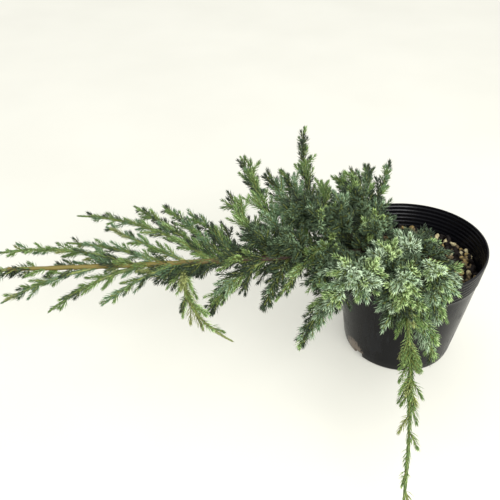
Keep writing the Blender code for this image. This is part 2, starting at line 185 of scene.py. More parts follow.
LIMBS = [
    Limb("trunk", "", 0, (-38, -19, 93), 0.16, 0.0, 4.6, 3.4),
    Limb("leader_bough", "trunk", 1, (-268, -43, 97), 0.0, -0.02, 2.5, 1.3),
    Limb("crown_bough", "trunk", 0.80, (-74, 6, 107), 0.06, 0.05, 2.2, 1.5),
    Limb("back_bough", "trunk", 0.50, (-32, 32, 102), 0.14, 0.05, 2.2, 1.5),
    Limb("front_bough", "trunk", 0.44, (-17, -52, 95), 0.20, 0.03, 2.2, 1.5),
    Limb("side_bough", "trunk", 0.86, (-47, -48, 97), 0.08, 0.0, 2.0, 1.5),
    Limb("front_right_bough", "trunk", 0.20, (6, -42, 100), 0.20, 0.0, 2.0, 1.5),
    Limb("right_bough", "trunk", 0.08, (4, 0, 84), 0.10, 0.0, 1.8, 1.4),
]

MASSES = [
    Mass("leader_tip_spray", "leader_bough", 1, (-292, -46, 91), 0.02, 0.0, 10),
    Mass("far_upper_spray", "leader_bough", 0.65, (-286, -20, 92), 0.10, 0.05, 11),
    Mass("middle_upper_spray", "leader_bough", 0.56, (-236, -14, 97), 0.04, 0.05, 11),
    Mass("inner_upper_spray", "leader_bough", 0.50, (-210, -7, 105), 0.0, 0.0, 12),
    Mass("long_upper_spray", "leader_bough", 0.43, (-231, 4, 107), 0.08, 0.12, 12),
    Mass("far_upright_spray", "leader_bough", 0.41, (-194, 16, 107), 0.02, 0.0, 12),
    Mass("upright_spray", "leader_bough", 0.39, (-173, 11, 110), 0.02, 0.02, 13),
    Mass("short_upright_spray", "leader_bough", 0.33, (-156, 10, 105), 0.02, 0.02, 13),
    Mass("near_upright_spray", "leader_bough", 0.36, (-141, -6, 104), 0.02, 0.0, 13),
    Mass("low_left_crest", "leader_bough", 0.27, (-127, 18, 115), 0.02, -0.04, 17),
    Mass("left_crest", "leader_bough", 0.19, (-120, 42, 132), 0.02, -0.04, 19),
    Mass("inner_left_crest", "leader_bough", 0.12, (-101, 36, 124), 0.02, -0.04, 19),
    Mass("left_top_crest", "crown_bough", 1, (-90, 36, 124), 0.02, 0.0, 15),
    Mass("far_lower_spray", "leader_bough", 0.74, (-270, -58, 82), 0.04, 0.06, 11),
    Mass("middle_lower_spray", "leader_bough", 0.62, (-240, -62, 78), 0.07, 0.06, 11),
    Mass("inner_lower_spray", "leader_bough", 0.53, (-206, -60, 82), 0.05, 0.06, 11),
    Mass("drooping_spray", "leader_bough", 0.51, (-125, -79, 69), 0.02, 0.36, 14),
    Mass("low_spray", "leader_bough", 0.27, (-140, -57, 75), 0.08, 0.05, 17),
    Mass("low_tuft", "leader_bough", 0.21, (-105, -64, 83), 0.08, 0.0, 10),
    Mass("crossing_spray", "crown_bough", 0.4, (-97, -63, 88), 0.14, 0.0, 12),
    Mass("leader_tuft", "leader_bough", 0.24, (-112, -20, 110), 0.02, 0.0, 14),
    Mass("left_tuft", "leader_bough", 0.15, (-94, -30, 111), 0.02, 0.0, 16),
    Mass("near_left_tuft", "leader_bough", 0.07, (-74, -59, 95), 0.08, 0.0, 15),
    Mass("top_crest", "crown_bough", 0.87, (-74, 63, 145), -0.05, -0.08, 15),
    Mass("middle_crest", "crown_bough", 0.66, (-61, 41, 112), 0.02, 0.03, 16),
    Mass("heart_left_tuft", "crown_bough", 0.7, (-90, -8, 120), 0.06, 0.0, 17),
    Mass("heart_tuft", "crown_bough", 0.55, (-72, -20, 122), 0.04, 0.0, 17),
    Mass("heart_top_tuft", "crown_bough", 0.25, (-56, -8, 121), 0.04, 0.0, 17),
    Mass("back_crest", "back_bough", 1, (-38, 54, 115), 0.02, 0.0, 13),
    Mass("back_left_crest", "back_bough", 0.78, (-50, 46, 114), 0.02, 0.0, 13),
    Mass("back_right_crest", "back_bough", 0.86, (-25, 58, 117), 0.02, 0.0, 12),
    Mass("right_crest", "back_bough", 0.62, (-8, 64, 116), -0.02, 0.02, 10),
    Mass("back_heart_tuft", "back_bough", 0.6, (-44, 12, 118), 0.02, 0.0, 17),
    Mass("shoulder_tuft", "back_bough", 0.38, (-25, 11, 108), 0.02, 0.0, 11),
    Mass("heart_right_tuft", "back_bough", 0.3, (-35, -24, 114), 0.0, 0.0, 17),
    Mass("soil_tuft", "right_bough", 1, (-3, -1, 92), 0.02, 0.0, 9),
    Mass("right_tuft", "right_bough", 0.6, (-15, -9, 99), 0.02, 0.0, 12),
    Mass("right_spray", "front_right_bough", 0.25, (4, -18, 96), 0.06, 0.0, 12),
    Mass("rim_tuft", "front_right_bough", 0.5, (-18, -40, 110), 0.02, 0.0, 16),
    Mass("front_right_spray", "front_right_bough", 0.85, (17, -50, 93), 0.06, 0.0, 8),
    Mass("front_tuft", "front_right_bough", 1, (-2, -74, 84), 0.24, 0.0, 16),
    Mass("front_crown_tuft", "front_bough", 0.5, (-34, -50, 110), 0.0, 0.0, 17),
    Mass("front_top_tuft", "front_bough", 0.8, (-18, -62, 105), 0.04, 0.0, 17),
    Mass("front_mass", "front_bough", 0.9, (-29, -76, 80), 0.34, 0.0, 17),
    Mass("hanging_tuft", "front_bough", 0.95, (-1, -88, 62), 0.16, 0.0, 13),
    Mass("hanging_spray", "front_bough", 1, (-35, -184, 27), 0.04, -0.06, 14),
    Mass("front_left_mass", "side_bough", 0.85, (-43, -68, 99), 0.16, 0.0, 16),
    Mass("lower_left_tuft", "side_bough", 0.95, (-66, -72, 88), 0.12, 0.0, 12),
    Mass("side_tuft", "side_bough", 0.6, (-56, -58, 107), 0.04, 0.0, 16),
    Mass("low_left_spray", "side_bough", 1, (-82, -76, 60), 0.10, 0.12, 13),
]

# Finer growth than the solids show, in millimetres and degrees. A core is a shoot's radius at foot and tip
FINE_STEP = 2.0
FINE_ROOM = 1.0
STEM_BARE = 3.0
STEM_SHOOT_CORE = (1.15, 0.5)
TWIG_CORE = (0.7, 0.35)
TWIGLET_CORE = (0.45, 0.28)
FILLER_CORE = (0.5, 0.3)
SPUR_CORE = (0.6, 0.35)
TWIGLET_SHARE = 0.72
TWIGLETS_FROM = 0.15
TWIGLETS_ALONG = 0.75
TWIGLETS_TO = 0.9
TWIGLET_SHIFT = 0.6
TWIGLET_ROLL = 25.0
TWIGLET_TAPER = 0.5
TWIGLET_LENGTHS = (0.8, 1.15)
TWIGLET_ANGLE = 33.0
TWIGLET_SPREAD = 8.0
SHORTEST_TWIGLET = 6.0
FILLER_SHIFT = (0.2, 0.8)
FILLER_LENGTHS = (0.75, 1.2)
FILLER_ANGLES = (30.0, 50.0)
FILLERS_TO = 0.93
TWIGGY_FILLER = 11.0
SHORT_SHOOT_ROLL = 30.0
SPUR_STEP = 2.2
SPUR_SHIFT = (0.1, 0.9)
SPURS_TO = 0.98
LEADER_SPUR_STEP = 1.7
SPUR_LENGTHS = (9.0, 17.0)
SPUR_ANGLES = (34.0, 58.0)
TRUNK_SPURS_FROM = 0.3
LEADER_NEEDLES = ((0.1, 0.72), (0.93, 1.0))
LEADER_POINTS = 60
HANGING_TUFTS = ((0.04, 0.16), (0.27, 0.37), (0.42, 0.5))
OLD_WOOD_X = -110.0
YOUNG_WOOD_X = -170.0
# Share of the inner shoots that get the dark shade tint, by part: partly older needles, partly painted shade
# inside the crown, most in the heart
INNER_SHADE = {"heart": 0.75, "front": 0.35, "crest": 0.5, "leader": 0.15, "hanging": 0.1}

# Needles: lengths in millimetres, leans and curl in degrees, roll in radians, and the rest as shares
NEEDLES = 3
NEEDLE_WAIST = 0.4
NEEDLE_KEEL = 0.75
NEEDLE_DEPTH = 0.6
NEEDLE_ROLL = 0.25
NEEDLE_LEANS = (0.8, 1.22)
NEEDLE_CURL = (-2, 14)
NEEDLE_LENGTHS = (0.8, 1.12)
NEEDLE_WIDTHS = (0.88, 1.1)
TIP_CLOSES = 0.7
TIP_SHORTENS = 0.4
TIP_FADE = (1.8, 0.12)
TIP_REST = 1.9
TIP_WHORLS = (1.3, 0.5)
YOUNG = 0.4
LONG_SHOOT = 40.0

# Where each part's random draws start
GRAIN_SEED = 11
TWIG_SEED = 100
FINE_SEED = 500
SPUR_SEED = 900
NEEDLE_SEED = 3000


@dataclass
class Habit:
    """How one part of the plant is clothed. Steps and the shortest side shoot are millimetres.

    needle is its needles' share of the full length, and lean is their angle to the shoot. filler_share is the
    length of the short shoots as a share of the reach. pressed is how much needles close along a long shoot.
    """

    needle: float
    lean: float
    whorl_step: float
    filler_step: float
    filler_share: float
    twiglet_step: float
    shortest: float
    pressed: float
    tints: dict


@dataclass
class Spurs:
    """The spurs on the leader up to a share of its length: how many stay, how long and on which sides."""

    until: float
    part: str
    keep: float
    lengths: tuple
    rolls: tuple


LEADER_SPURS = [
    Spurs(0.25, "heart", 1.0, (9, 15), (0, 360)),
    Spurs(0.42, "crest", 1.0, (8, 14), (0, 360)),
    Spurs(0.54, "heart", 1.0, (9, 16), (150, 320)),
    Spurs(0.73, "leader", 0.9, (7, 12), (0, 360)),
    Spurs(0.93, "leader", 0.75, (6, 11), (170, 400)),
    Spurs(1.0, "heart", 0.9, (5, 9), (0, 360)),
]

HABITS = {
    # The heart's many dark tints are painted shade for the shaded middle of the crown
    "heart": Habit(
        0.95, 44, 1.35, 1.7, 0.92, 4.8, 5.0, 0.1, {"blue": 4, "mint": 1, "green": 3, "deep": 10, "shade": 4}
    ),
    # The front's pale tints, silver most of all, are partly painted light for the lit front of the crown
    "front": Habit(1.0, 45, 1.35, 1.7, 0.92, 4.8, 5.0, 0.1, {"silver": 8, "blue": 3, "mint": 6}),
    "crest": Habit(
        0.86, 40, 1.35, 2.1, 0.62, 5.0, 4.5, 0.15, {"green": 6, "blue": 3, "mint": 4, "deep": 1, "shade": 1}
    ),
    "leader": Habit(
        0.85, 35, 1.2, 4.5, 0.65, 0.0, 5.0, 0.45, {"blue": 4, "green": 5, "mint": 3, "deep": 2, "olive": 2}
    ),
    "hanging": Habit(0.95, 40, 1.3, 1.5, 0.85, 0.0, 5.0, 0.8, {"green": 4, "mint": 5, "olive": 3}),
}


# Settings that a user would change

def colour_setting(name, description, code):
    """A colour with this sRGB hex colour as its default."""
    return FloatVectorProperty(
        name=name, description=description, subtype="COLOR", size=3, default=linear(code), min=0, max=1
    )


def length_setting(name, description, default, least, most):
    """A length in metres."""
    return FloatProperty(
        name=name, description=description, unit="LENGTH", subtype="DISTANCE",
        default=default, min=least, max=most,
    )


class PotSettings(PropertyGroup):
    """The finish of the soft pot."""

    plastic: colour_setting("Plastic", "Colour of the black polyethylene", "#070709")
    dust: colour_setting("Dust", "Colour of the dried splashes that dull the wall", "#1C1D20")
    dried_mix: colour_setting("Dried mix", "Colour of the mix that has dried on round the foot", "#6A6056")
    gloss_roughness: FloatProperty(
        name="Roughness", description="Roughness of the clean plastic", subtype="FACTOR",
        default=0.24, min=0, max=1,
    )


class MixSettings(PropertyGroup):
    """The grit on top of the growing mix."""

    grain_size: length_setting("Grain size", "Length of a common grain", 0.0042, 0.002, 0.008)
    grain_count: IntProperty(name="Grains", description="Number of grains on top", default=560, min=100)
    # The bed's near-black colour is partly painted shade between the grains
    bed: colour_setting("Bed", "Colour of the damp mix between the grains", "#060403")


class BarkSettings(PropertyGroup):
    """The bark of the trunk and the boughs."""

    # The dark bark colours are partly painted shade for the wood inside the crown
    bark: colour_setting("Bark", "Colour of the thin red-brown bark", "#3A291C")
    flake: colour_setting("Flakes", "Colour of the older bark that flakes off", "#1E150E")
    young: colour_setting("Young bark", "Colour of the smooth bark on the outer leader", "#574E22")
    ridge: length_setting("Ridge", "Height of the bark's ridges", 0.00022, 0, 0.002)


class FoliageSettings(PropertyGroup):
    """Shoots and needles."""

    needle_length: length_setting("Needle length", "Length of a needle in the crown", 0.0060, 0.002, 0.015)
    needle_width: length_setting("Needle width", "Greatest width of a needle", 0.00086, 0.0005, 0.003)
    rind: colour_setting("Shoot", "Colour of the young green shoots", "#66702F")


class StageSettings(PropertyGroup):
    """The floor and the light."""

    floor: colour_setting("Floor", "Colour of the pale floor", "#97968E")
    # The floor's glow is painted light: it keeps the shadows on the floor pale, though the floor is no lamp
    painted_floor_glow: colour_setting("Glow", "Light that the floor gives from below", "#95958E")
    zenith: FloatProperty(
        name="Zenith", description="Brightness of the white ceiling overhead", default=2.15, min=0, max=10,
    )
    horizon: FloatProperty(
        name="Horizon", description="Brightness of the white walls around", default=0.8, min=0, max=10,
    )


class JuniperSettings(PropertyGroup):
    """All settings of the potted juniper."""

    pot: PointerProperty(type=PotSettings, name="Pot", description="Finish of the pot")
    mix: PointerProperty(type=MixSettings, name="Mix", description="Finish of the growing mix")
    bark: PointerProperty(type=BarkSettings, name="Bark", description="Finish of trunk and boughs")
    foliage: PointerProperty(type=FoliageSettings, name="Foliage", description="Shoots and needles")
    stage: PointerProperty(type=StageSettings, name="Stage", description="Floor and light")


# Materials

def add_node(tree, kind, values=None, links=None, **settings):
    """Adds one node: settings are its own, values go to its sockets and links feed them.

    A link is an output, or a node that stands for its own first output.
    """
    new = tree.nodes.new(kind)
    for key, value in settings.items():
        setattr(new, key, value)
    for key, value in (values or {}).items():
        new.inputs[key].default_value = value
    for key, source in (links or {}).items():
        tree.links.new(getattr(source, "outputs", [source])[0], new.inputs[key])
    return new


def new_material(name, roughness, values=None):
    """A material with a Principled shader, as (material, tree, shader)."""
    material = bpy.data.materials.new(name)
    material.use_nodes = True
    tree = material.node_tree
    shader = tree.nodes["Principled BSDF"]
    shader.inputs["Roughness"].default_value = roughness
    for key, value in (values or {}).items():
        shader.inputs[key].default_value = value
    return material, tree, shader


def mottled(name, one, other, blotch_mm, roughness, relief_mm=0.0, values=None):
    """A material that wanders between two linear colours in blotches of this size, with a relief if any."""
    material, tree, shader = new_material(name, roughness, values)
    place = add_node(tree, "ShaderNodeTexCoord").outputs["Object"]
    blotches = add_node(
        tree, "ShaderNodeTexNoise", {"Scale": 1 / (blotch_mm * MM), "Detail": 3.0}, {"Vector": place}
    )
    spread = add_node(tree, "ShaderNodeMapRange", {"From Min": 0.35, "From Max": 0.65}, {"Value": blotches})
    colour = add_node(
        tree, "ShaderNodeMix", {6: (*one, 1), 7: (*other, 1)}, {0: spread}, data_type="RGBA"
    )
    tree.links.new(colour.outputs[2], shader.inputs["Base Color"])
    if relief_mm:
        bump = add_node(
            tree, "ShaderNodeBump", {"Distance": relief_mm * MM, "Strength": 1.0}, {"Height": blotches}
        )
        tree.links.new(bump.outputs["Normal"], shader.inputs["Normal"])
    return material


def black_polyethylene(settings):
    """Thin moulded polyethylene: satin black, dull where water ran down, and caked with mix at its foot."""
    streak_mm, run_mm, patch_mm, crumb_mm, drift_mm = 2.4, 60.0, 22.0, 2.0, 26.0
    clean_mm, caked_mm, relief_mm = 12.0, 8.0, 0.12
    material, tree, shader = new_material(
        "moulded_black_polyethylene", settings.gloss_roughness, {"Specular IOR Level": 0.14}
    )
    place = add_node(tree, "ShaderNodeTexCoord").outputs["Object"]
    height = add_node(tree, "ShaderNodeSeparateXYZ", {}, {"Vector": place}).outputs["Z"]

    streak_scale = (run_mm / streak_mm, run_mm / streak_mm, 1.0)
    along = add_node(tree, "ShaderNodeMapping", {"Scale": streak_scale}, {"Vector": place})
    streaks, patches, crumbs, drifts = (
        add_node(tree, "ShaderNodeTexNoise", {"Scale": 1 / (size * MM), **values}, {"Vector": where})
        for size, values, where in (
            (run_mm, {"Detail": 4.0, "Roughness": 0.6}, along),
            (patch_mm, {"Detail": 5.0}, place),
            (crumb_mm, {"Detail": 5.0, "Roughness": 0.75}, place),
            (drift_mm, {"Detail": 0.0}, place),
        )
    )

    # Dried water lies in the patches of the streaks, below the level of the mix
    both = add_node(tree, "ShaderNodeMath", {}, {0: streaks, 1: patches}, operation="MULTIPLY")
    splashed = add_node(tree, "ShaderNodeMapRange", {"From Min": 0.28, "From Max": 0.5}, {"Value": both})
    levels = {"From Min": SOIL_LEVEL * MM, "From Max": (SOIL_LEVEL - clean_mm) * MM}
    below = add_node(tree, "ShaderNodeMapRange", levels, {"Value": height})
    dusty = add_node(tree, "ShaderNodeMath", {}, {0: splashed, 1: below}, operation="MULTIPLY")
    blacks = {6: (*settings.plastic, 1), 7: (*settings.dust, 1)}
    wall = add_node(tree, "ShaderNodeMix", blacks, {0: dusty}, data_type="RGBA")

    # Dried mix lies in drifts along the foot, and thickest where it came out of one drain
    levels = {"From Min": caked_mm * MM, "From Max": 0.0}
    low = add_node(tree, "ShaderNodeMapRange", levels, {"Value": height})
    drifted = add_node(tree, "ShaderNodeMath", {}, {0: crumbs, 1: drifts}, operation="MULTIPLY")
    lowest = add_node(tree, "ShaderNodeMath", {}, {0: drifted, 1: low}, operation="MULTIPLY")
    spill = math.radians(SPILL_AZIMUTH)
    spill_place = Vector((math.cos(spill), math.sin(spill), 0)) * FOOT_RADIUS + Vector((0, 0, SPILL_HEIGHT))
    away = add_node(tree, "ShaderNodeVectorMath", {1: spill_place * MM}, {0: place}, operation="DISTANCE")
    reach = {"From Min": SPILL_RADIUS * MM, "From Max": 0.0}
    near = add_node(tree, "ShaderNodeMapRange", reach, {"Value": away.outputs["Value"]})
    spilt = add_node(tree, "ShaderNodeMath", {}, {0: crumbs, 1: near}, operation="MULTIPLY")
    most = add_node(tree, "ShaderNodeMath", {}, {0: lowest, 1: spilt}, operation="MAXIMUM")
    caked = add_node(tree, "ShaderNodeMapRange", {"From Min": 0.2, "From Max": 0.3}, {"Value": most})
    colour = add_node(
        tree, "ShaderNodeMix", {7: (*settings.dried_mix, 1)}, {0: caked, 6: wall.outputs[2]}, data_type="RGBA"
    )

    grades = {"To Min": settings.gloss_roughness, "To Max": 0.62}
    dull = add_node(tree, "ShaderNodeMapRange", grades, {"Value": dusty})
    bump = add_node(
        tree, "ShaderNodeBump", {"Distance": relief_mm * MM, "Strength": 0.5}, {"Height": streaks}
    )
    tree.links.new(colour.outputs[2], shader.inputs["Base Color"])
    tree.links.new(dull.outputs["Result"], shader.inputs["Roughness"])
    tree.links.new(bump.outputs["Normal"], shader.inputs["Normal"])
    return material


# Meshes

def add_object(name, data):
    """A new object in the scene."""
    obj = bpy.data.objects.new(name, data)
    bpy.context.scene.collection.objects.link(obj)
    return obj


def add_mesh(name, points, faces, materials, face_slots=None):
    """A mesh object from arrays of points in millimetres and of faces."""
    mesh = bpy.data.meshes.new(name)
    mesh.vertices.add(len(points))
    mesh.vertices.foreach_set("co", (np.asarray(points) * MM).astype(np.float32).ravel())
    faces = np.asarray(faces, np.int32)
    mesh.loops.add(faces.size)
    mesh.loops.foreach_set("vertex_index", faces.ravel())
    mesh.polygons.add(len(faces))
    mesh.polygons.foreach_set("loop_start", np.arange(0, faces.size, faces.shape[1], dtype=np.int32))
    for material in materials:
        mesh.materials.append(material)
    if face_slots is not None:
        mesh.polygons.foreach_set("material_index", np.asarray(face_slots, np.int32))
    mesh.update(calc_edges=True)
    return add_object(name, mesh)


def place(obj, slot, *nodes):
    """Puts a piece on the one body and hides the solids that it stands for. slot is not used."""
    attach(obj, BODY)
    if nodes:
        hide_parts(*nodes)


def closed_faces(rows, columns):
    """Triangles over rising rings of points, and fans to the two end points that follow them."""
    faces = []
    for row in range(rows - 1):
        for i in range(columns):
            j = (i + 1) % columns
            low, high = row * columns, (row + 1) * columns
            faces += [(low + i, low + j, high + j), (low + i, high + j, high + i)]
    last = (rows - 1) * columns
    for i in range(columns):
        j = (i + 1) % columns
        faces += [(j, i, rows * columns), (last + i, last + j, rows * columns + 1)]
    return faces


def joined(parts):
    """Many small meshes, each as (points, faces), as one."""
    starts = np.cumsum([0] + [len(points) for points, _ in parts])
    faces = [own + start for (_, own), start in zip(parts, starts)]
    return np.concatenate([points for points, _ in parts]), np.concatenate(faces)


def unit(vector):
    """The vector at length 1."""
    return vector / np.linalg.norm(vector)


# The pot

def pot_radius(z):
    """The plain outer radius of the tapered wall at this height."""
    return FOOT_RADIUS + (RIM_RADIUS - FOOT_RADIUS) * z / POT_HEIGHT


def out_of_round(angle, z):
    """The factor by which the soft wall leaves its circle, most at the rim."""
    wave = np.cos(RIM_WAVES * (angle - math.radians(RIM_WAVE_AZIMUTH)))
    return 1 + RIM_WAVE * (z / POT_HEIGHT) ** 2 * wave


def round_rings(section, angles):
    """Rings of points round a section of (radius, height), out of round like the soft wall."""
    rings = []
    for radius, z in section:
        r = radius * out_of_round(angles, z)
        rings.append(np.stack([r * np.cos(angles), r * np.sin(angles), np.full_like(r, z)], axis=1))
    return rings


def wall_section():
    """(radius, height) round the wall's section: up the outside, over the lip, down the inside."""
    corner_rows, plain_rows, rib_rows, lip_rows, inner_rows = 6, 26, 8, 8, 5
    band = POT_HEIGHT - RIB_COUNT * RIB_PITCH
    outside = []
    for row in range(corner_rows + 1):
        a = math.radians(90 * row / corner_rows)
        outside.append((pot_radius(0) - CORNER + CORNER * math.sin(a), CORNER - CORNER * math.cos(a)))
    for row in range(1, plain_rows):
        z = CORNER + (band - CORNER) * row / plain_rows
        outside.append((pot_radius(z), z))
    for row in range(RIB_COUNT * rib_rows):
        z = band + row * RIB_PITCH / rib_rows
        outside.append((pot_radius(z) + 0.5 * RIB_DEPTH * (1 - math.cos(2 * math.pi * row / rib_rows)), z))
    inside = [(r - WALL, z) for r, z in reversed(outside) if z > CORNER + FLOOR]
    lip = []
    for row in range(1, lip_rows):
        a = math.pi * row / lip_rows
        r = pot_radius(POT_HEIGHT) - 0.5 * WALL + (0.5 * WALL + LIP * math.sin(a)) * math.cos(a)
        lip.append((r, POT_HEIGHT - LIP + LIP * math.sin(a)))
    bottom = []
    for row in range(1, inner_rows + 1):
        a = math.radians(90 * row / inner_rows)
        r = pot_radius(FLOOR) - WALL - CORNER + CORNER * math.cos(a)
        bottom.append((r, FLOOR + CORNER - CORNER * math.sin(a)))
    return [(r, z) for r, z in outside if z < POT_HEIGHT - LIP] + lip + inside + bottom


def build_pot(settings):
    """The soft pot with its ribbed band, thin lip and six drains, as one closed mesh."""
    section = wall_section()
    angles = np.linspace(0, 2 * math.pi, POT_SIDES, endpoint=False)
    points = np.vstack([*round_rings(section, angles), [[0, 0, 0], [0, 0, FLOOR]]])
    faces = closed_faces(len(section), POT_SIDES)
    pot = add_mesh("pot_wall", points, faces, [black_polyethylene(settings)])
    for i in range(DRAIN_COUNT):
        cut_drain(pot, DRAIN_AZIMUTH + 360 * i / DRAIN_COUNT)
    bpy.context.view_layer.update()
    graph = bpy.context.evaluated_depsgraph_get()
    cut_mesh = bpy.data.meshes.new_from_object(pot.evaluated_get(graph))
    cutters = [modifier.object for modifier in pot.modifiers]
    pot.modifiers.clear()
    pot.data = cut_mesh
    for cutter in cutters:
        bpy.data.objects.remove(cutter, do_unlink=True)
    pot.data.shade_smooth()
    pot.data.set_sharp_from_angle(angle=math.radians(40))
    place(pot, "pot_plastic", "pot")


def cut_drain(pot, azimuth):
    """A round drain that opens through the corner between the foot and the wall."""
    a = math.radians(azimuth)
    centre = (FOOT_RADIUS - CORNER) * MM * np.array([math.cos(a), math.sin(a), 0.0])
    bpy.ops.mesh.primitive_cylinder_add(
        vertices=32, radius=DRAIN_RADIUS * MM, depth=3 * DRAIN_RADIUS * MM, location=centre
    )
    cutter = bpy.context.object
    cutter.rotation_euler = (0, math.radians(DRAIN_LEAN), a)
    cut = pot.modifiers.new("drain", "BOOLEAN")
    cut.operation = "DIFFERENCE"
    cut.solver = "EXACT"
    cut.object = cutter


# The growing mix

def soil_height(x, y):
    """The height of the mix's lumpy, slightly domed surface, with room for the grains on top."""
    edge = pot_radius(SOIL_LEVEL) - WALL - SOIL_GAP
    r = math.hypot(x, y) / edge
    lump = noise.noise(Vector((x / LUMP_SPACING, y / LUMP_SPACING, LUMP_PLACE)))
    return SOIL_LEVEL - BED_DROP + SOIL_DOME * (1 - r * r) + LUMP_HEIGHT * lump


def build_bed(settings):
    """The body of the mix: the damp fine part between the grains."""
    sides, wall_rows, top_rows = 96, 8, 24
    inner = WALL + SOIL_GAP
    angles = np.linspace(0, 2 * math.pi, sides, endpoint=False)
    section = [(0.5 * (FOOT_RADIUS - CORNER), FLOOR + GAP), (FOOT_RADIUS - CORNER - inner, FLOOR + GAP)]
    for row in range(wall_rows + 1):
        z = FLOOR + CORNER + (SOIL_LEVEL - BED_SHOULDER - FLOOR - CORNER) * row / wall_rows
        section.append((pot_radius(z) - inner - BED_GAP, z))
    rings = round_rings(section, angles)
    for row in range(top_rows):
        share = 1 - row / top_rows
        r = (pot_radius(SOIL_LEVEL) - inner - BED_GAP) * share * out_of_round(angles, SOIL_LEVEL)
        rings.append([(x, y, soil_height(x, y)) for x, y in zip(r * np.cos(angles), r * np.sin(angles))])
    points = np.vstack([*rings, [[0, 0, FLOOR + GAP], [0, 0, soil_height(0, 0)]]])
    # Damp peat and bark fines: crumbly and without shine. Their almost black colour is partly painted shade,
    # the shade between the grains and under the rim, so that the pale grains stand out
    dull = {"Specular IOR Level": 0.1}
    damp = mottled("damp_mix_painted_shade", settings.bed, linear("#0F0A07"), 2.2, 0.85, relief_mm=0.8, values=dull)
    bed = add_mesh("mix_bed", points, closed_faces(len(rings), sides), [damp])
    bed.data.shade_smooth()
    place(bed, "growing_mix", "growing_mix")


def grain_shapes(dice):
    """Unit grains: small spheres pushed in and out at random, as (points, faces)."""
    shapes = []
    for _ in range(GRAIN_SHAPES):
        work = bmesh.new()
        bmesh.ops.create_icosphere(work, subdivisions=2, radius=0.5)
        shift = Vector((dice.uniform(-9, 9), dice.uniform(-9, 9), dice.uniform(-9, 9)))
        for vert in work.verts:
            push = 1.0
            for waves, depth in GRAIN_DENTS:
                push += depth * noise.noise(vert.co * waves + shift)
            vert.co *= push
        points = np.array([vert.co for vert in work.verts])
        faces = np.array([[vert.index for vert in face.verts] for face in work.faces])
        work.free()
        shapes.append((points, faces))
    return shapes


def turned(dice):
    """A random rotation matrix."""
    spin = np.array([[dice.gauss(0, 1) for _ in range(3)] for _ in range(3)])
    matrix, _ = np.linalg.qr(spin)
    if np.linalg.det(matrix) < 0:
        matrix[:, 0] *= -1
    return matrix


# Each tint of grit as (pale colour, dark colour, share of the grains); each grain wanders between the two in
# blotches. All are darkened, the near-black brown most: partly painted shade, for the shade on the mix under
# the rim and the crown
GRAIN_TINTS = {
    "cream": ("#9C9272", "#6E664A", 0.12),
    "ochre": ("#7C6A42", "#504428", 0.22),
    "tan": ("#5C503A", "#382F20", 0.28),
    "brown": ("#120C08", "#080504", 0.38),
}
GRAIN_SHAPES = 14
GRAIN_DENTS = ((2.6, 0.42), (7.0, 0.14))
GRAIN_SIZES = (0.62, 0.8, 1.0, 1.0, 1.25)
GRAIN_STRETCH = ((0.95, 1.45), (0.6, 0.9), (0.5, 0.75))
GRAIN_RISE = (0.05, 0.5)
GRAIN_ROOM = 1.6


def build_grains(settings):
    """Grains of fired clay, pumice and bark, scattered over the bed and joined by colour."""
    dice = random.Random(GRAIN_SEED)
    shapes = grain_shapes(dice)
    edge = pot_radius(SOIL_LEVEL) - WALL - SOIL_GAP - GRAIN_ROOM
    shares = [share for _, _, share in GRAIN_TINTS.values()]
    heaps = {name: [] for name in GRAIN_TINTS}
    for _ in range(settings.grain_count):
        r = edge * math.sqrt(dice.random())
        a = dice.uniform(0, 2 * math.pi)
        size = settings.grain_size / MM * dice.choice(GRAIN_SIZES)
        x, y = r * math.cos(a), r * math.sin(a)
        points, faces = dice.choice(shapes)
        stretch = np.array([dice.uniform(*span) for span in GRAIN_STRETCH])
        own = (points * stretch * size) @ turned(dice).T
        own += [x, y, soil_height(x, y) + size * dice.uniform(*GRAIN_RISE)]
        heaps[dice.choices(list(heaps), shares)[0]].append((own, faces))
    for name, grains in heaps.items():
        pale, dark, _ = GRAIN_TINTS[name]
        # Fired clay, pumice and bark broken to grit: dull and pitted, each grain of uneven colour
        grit = mottled(
            f"{name}_clay_grit", linear(pale), linear(dark), 1.2, 0.82, relief_mm=0.25,
            values={"Specular IOR Level": 0.15},
        )
        obj = add_mesh(f"grit_{name}", *joined(grains), [grit])
        obj.data.shade_smooth()
        place(obj, "growing_mix")


# The growth rule: limbs and stems

@dataclass
class Grown:
    """A limb or a stem as it lies: its axis and its radius at each point of the axis."""

    path: np.ndarray
    radii: np.ndarray

    def at(self, share):
        """The point on the axis, the unit vector along it and the radius, at a share of the length."""
        spot = share * (len(self.path) - 1)
        low = min(int(spot), len(self.path) - 2)
        part = spot - low
        point = self.path[low] * (1 - part) + self.path[low + 1] * part
        radius = self.radii[low] * (1 - part) + self.radii[low + 1] * part
        return point, unit(self.path[low + 1] - self.path[low]), radius

    def length(self):
        return float(np.linalg.norm(np.diff(self.path, axis=0), axis=1).sum())


def bend_of(start, branch):
    """The point that the branch's one bow is drawn towards."""
    chord = np.array(branch.tip, float) - start
    side = unit(np.cross(chord, UP))
    return start + 0.5 * chord + np.linalg.norm(chord) * (branch.rise * UP + branch.swing * side)


def bowed_path(start, branch, step):
    """Points along the branch from its start to its tip, about a step apart."""
    tip, bend = np.array(branch.tip, float), bend_of(start, branch)
    count = max(3, round(np.linalg.norm(tip - start) / step))
    t = np.linspace(0, 1, count + 1)[:, None]
    return start * (1 - t) ** 2 + bend * 2 * t * (1 - t) + tip * t**2


def foot_of(branch, parent, radius):
    """Where a branch starts, so that its foot clears its parent by the gap."""
    point, along, parent_radius = parent.at(branch.at)
    way = unit(bend_of(point, branch) - point)
    cosine = float(np.clip(along @ way, -1, 1))
    sine = max(math.sqrt(1 - cosine**2), LEAST_SINE)
    if branch.at >= 1:
        return point + way * (GAP + radius * sine) / max(cosine, LEAST_COSINE)
    return point + way * (parent_radius + GAP + radius * abs(cosine)) / sine


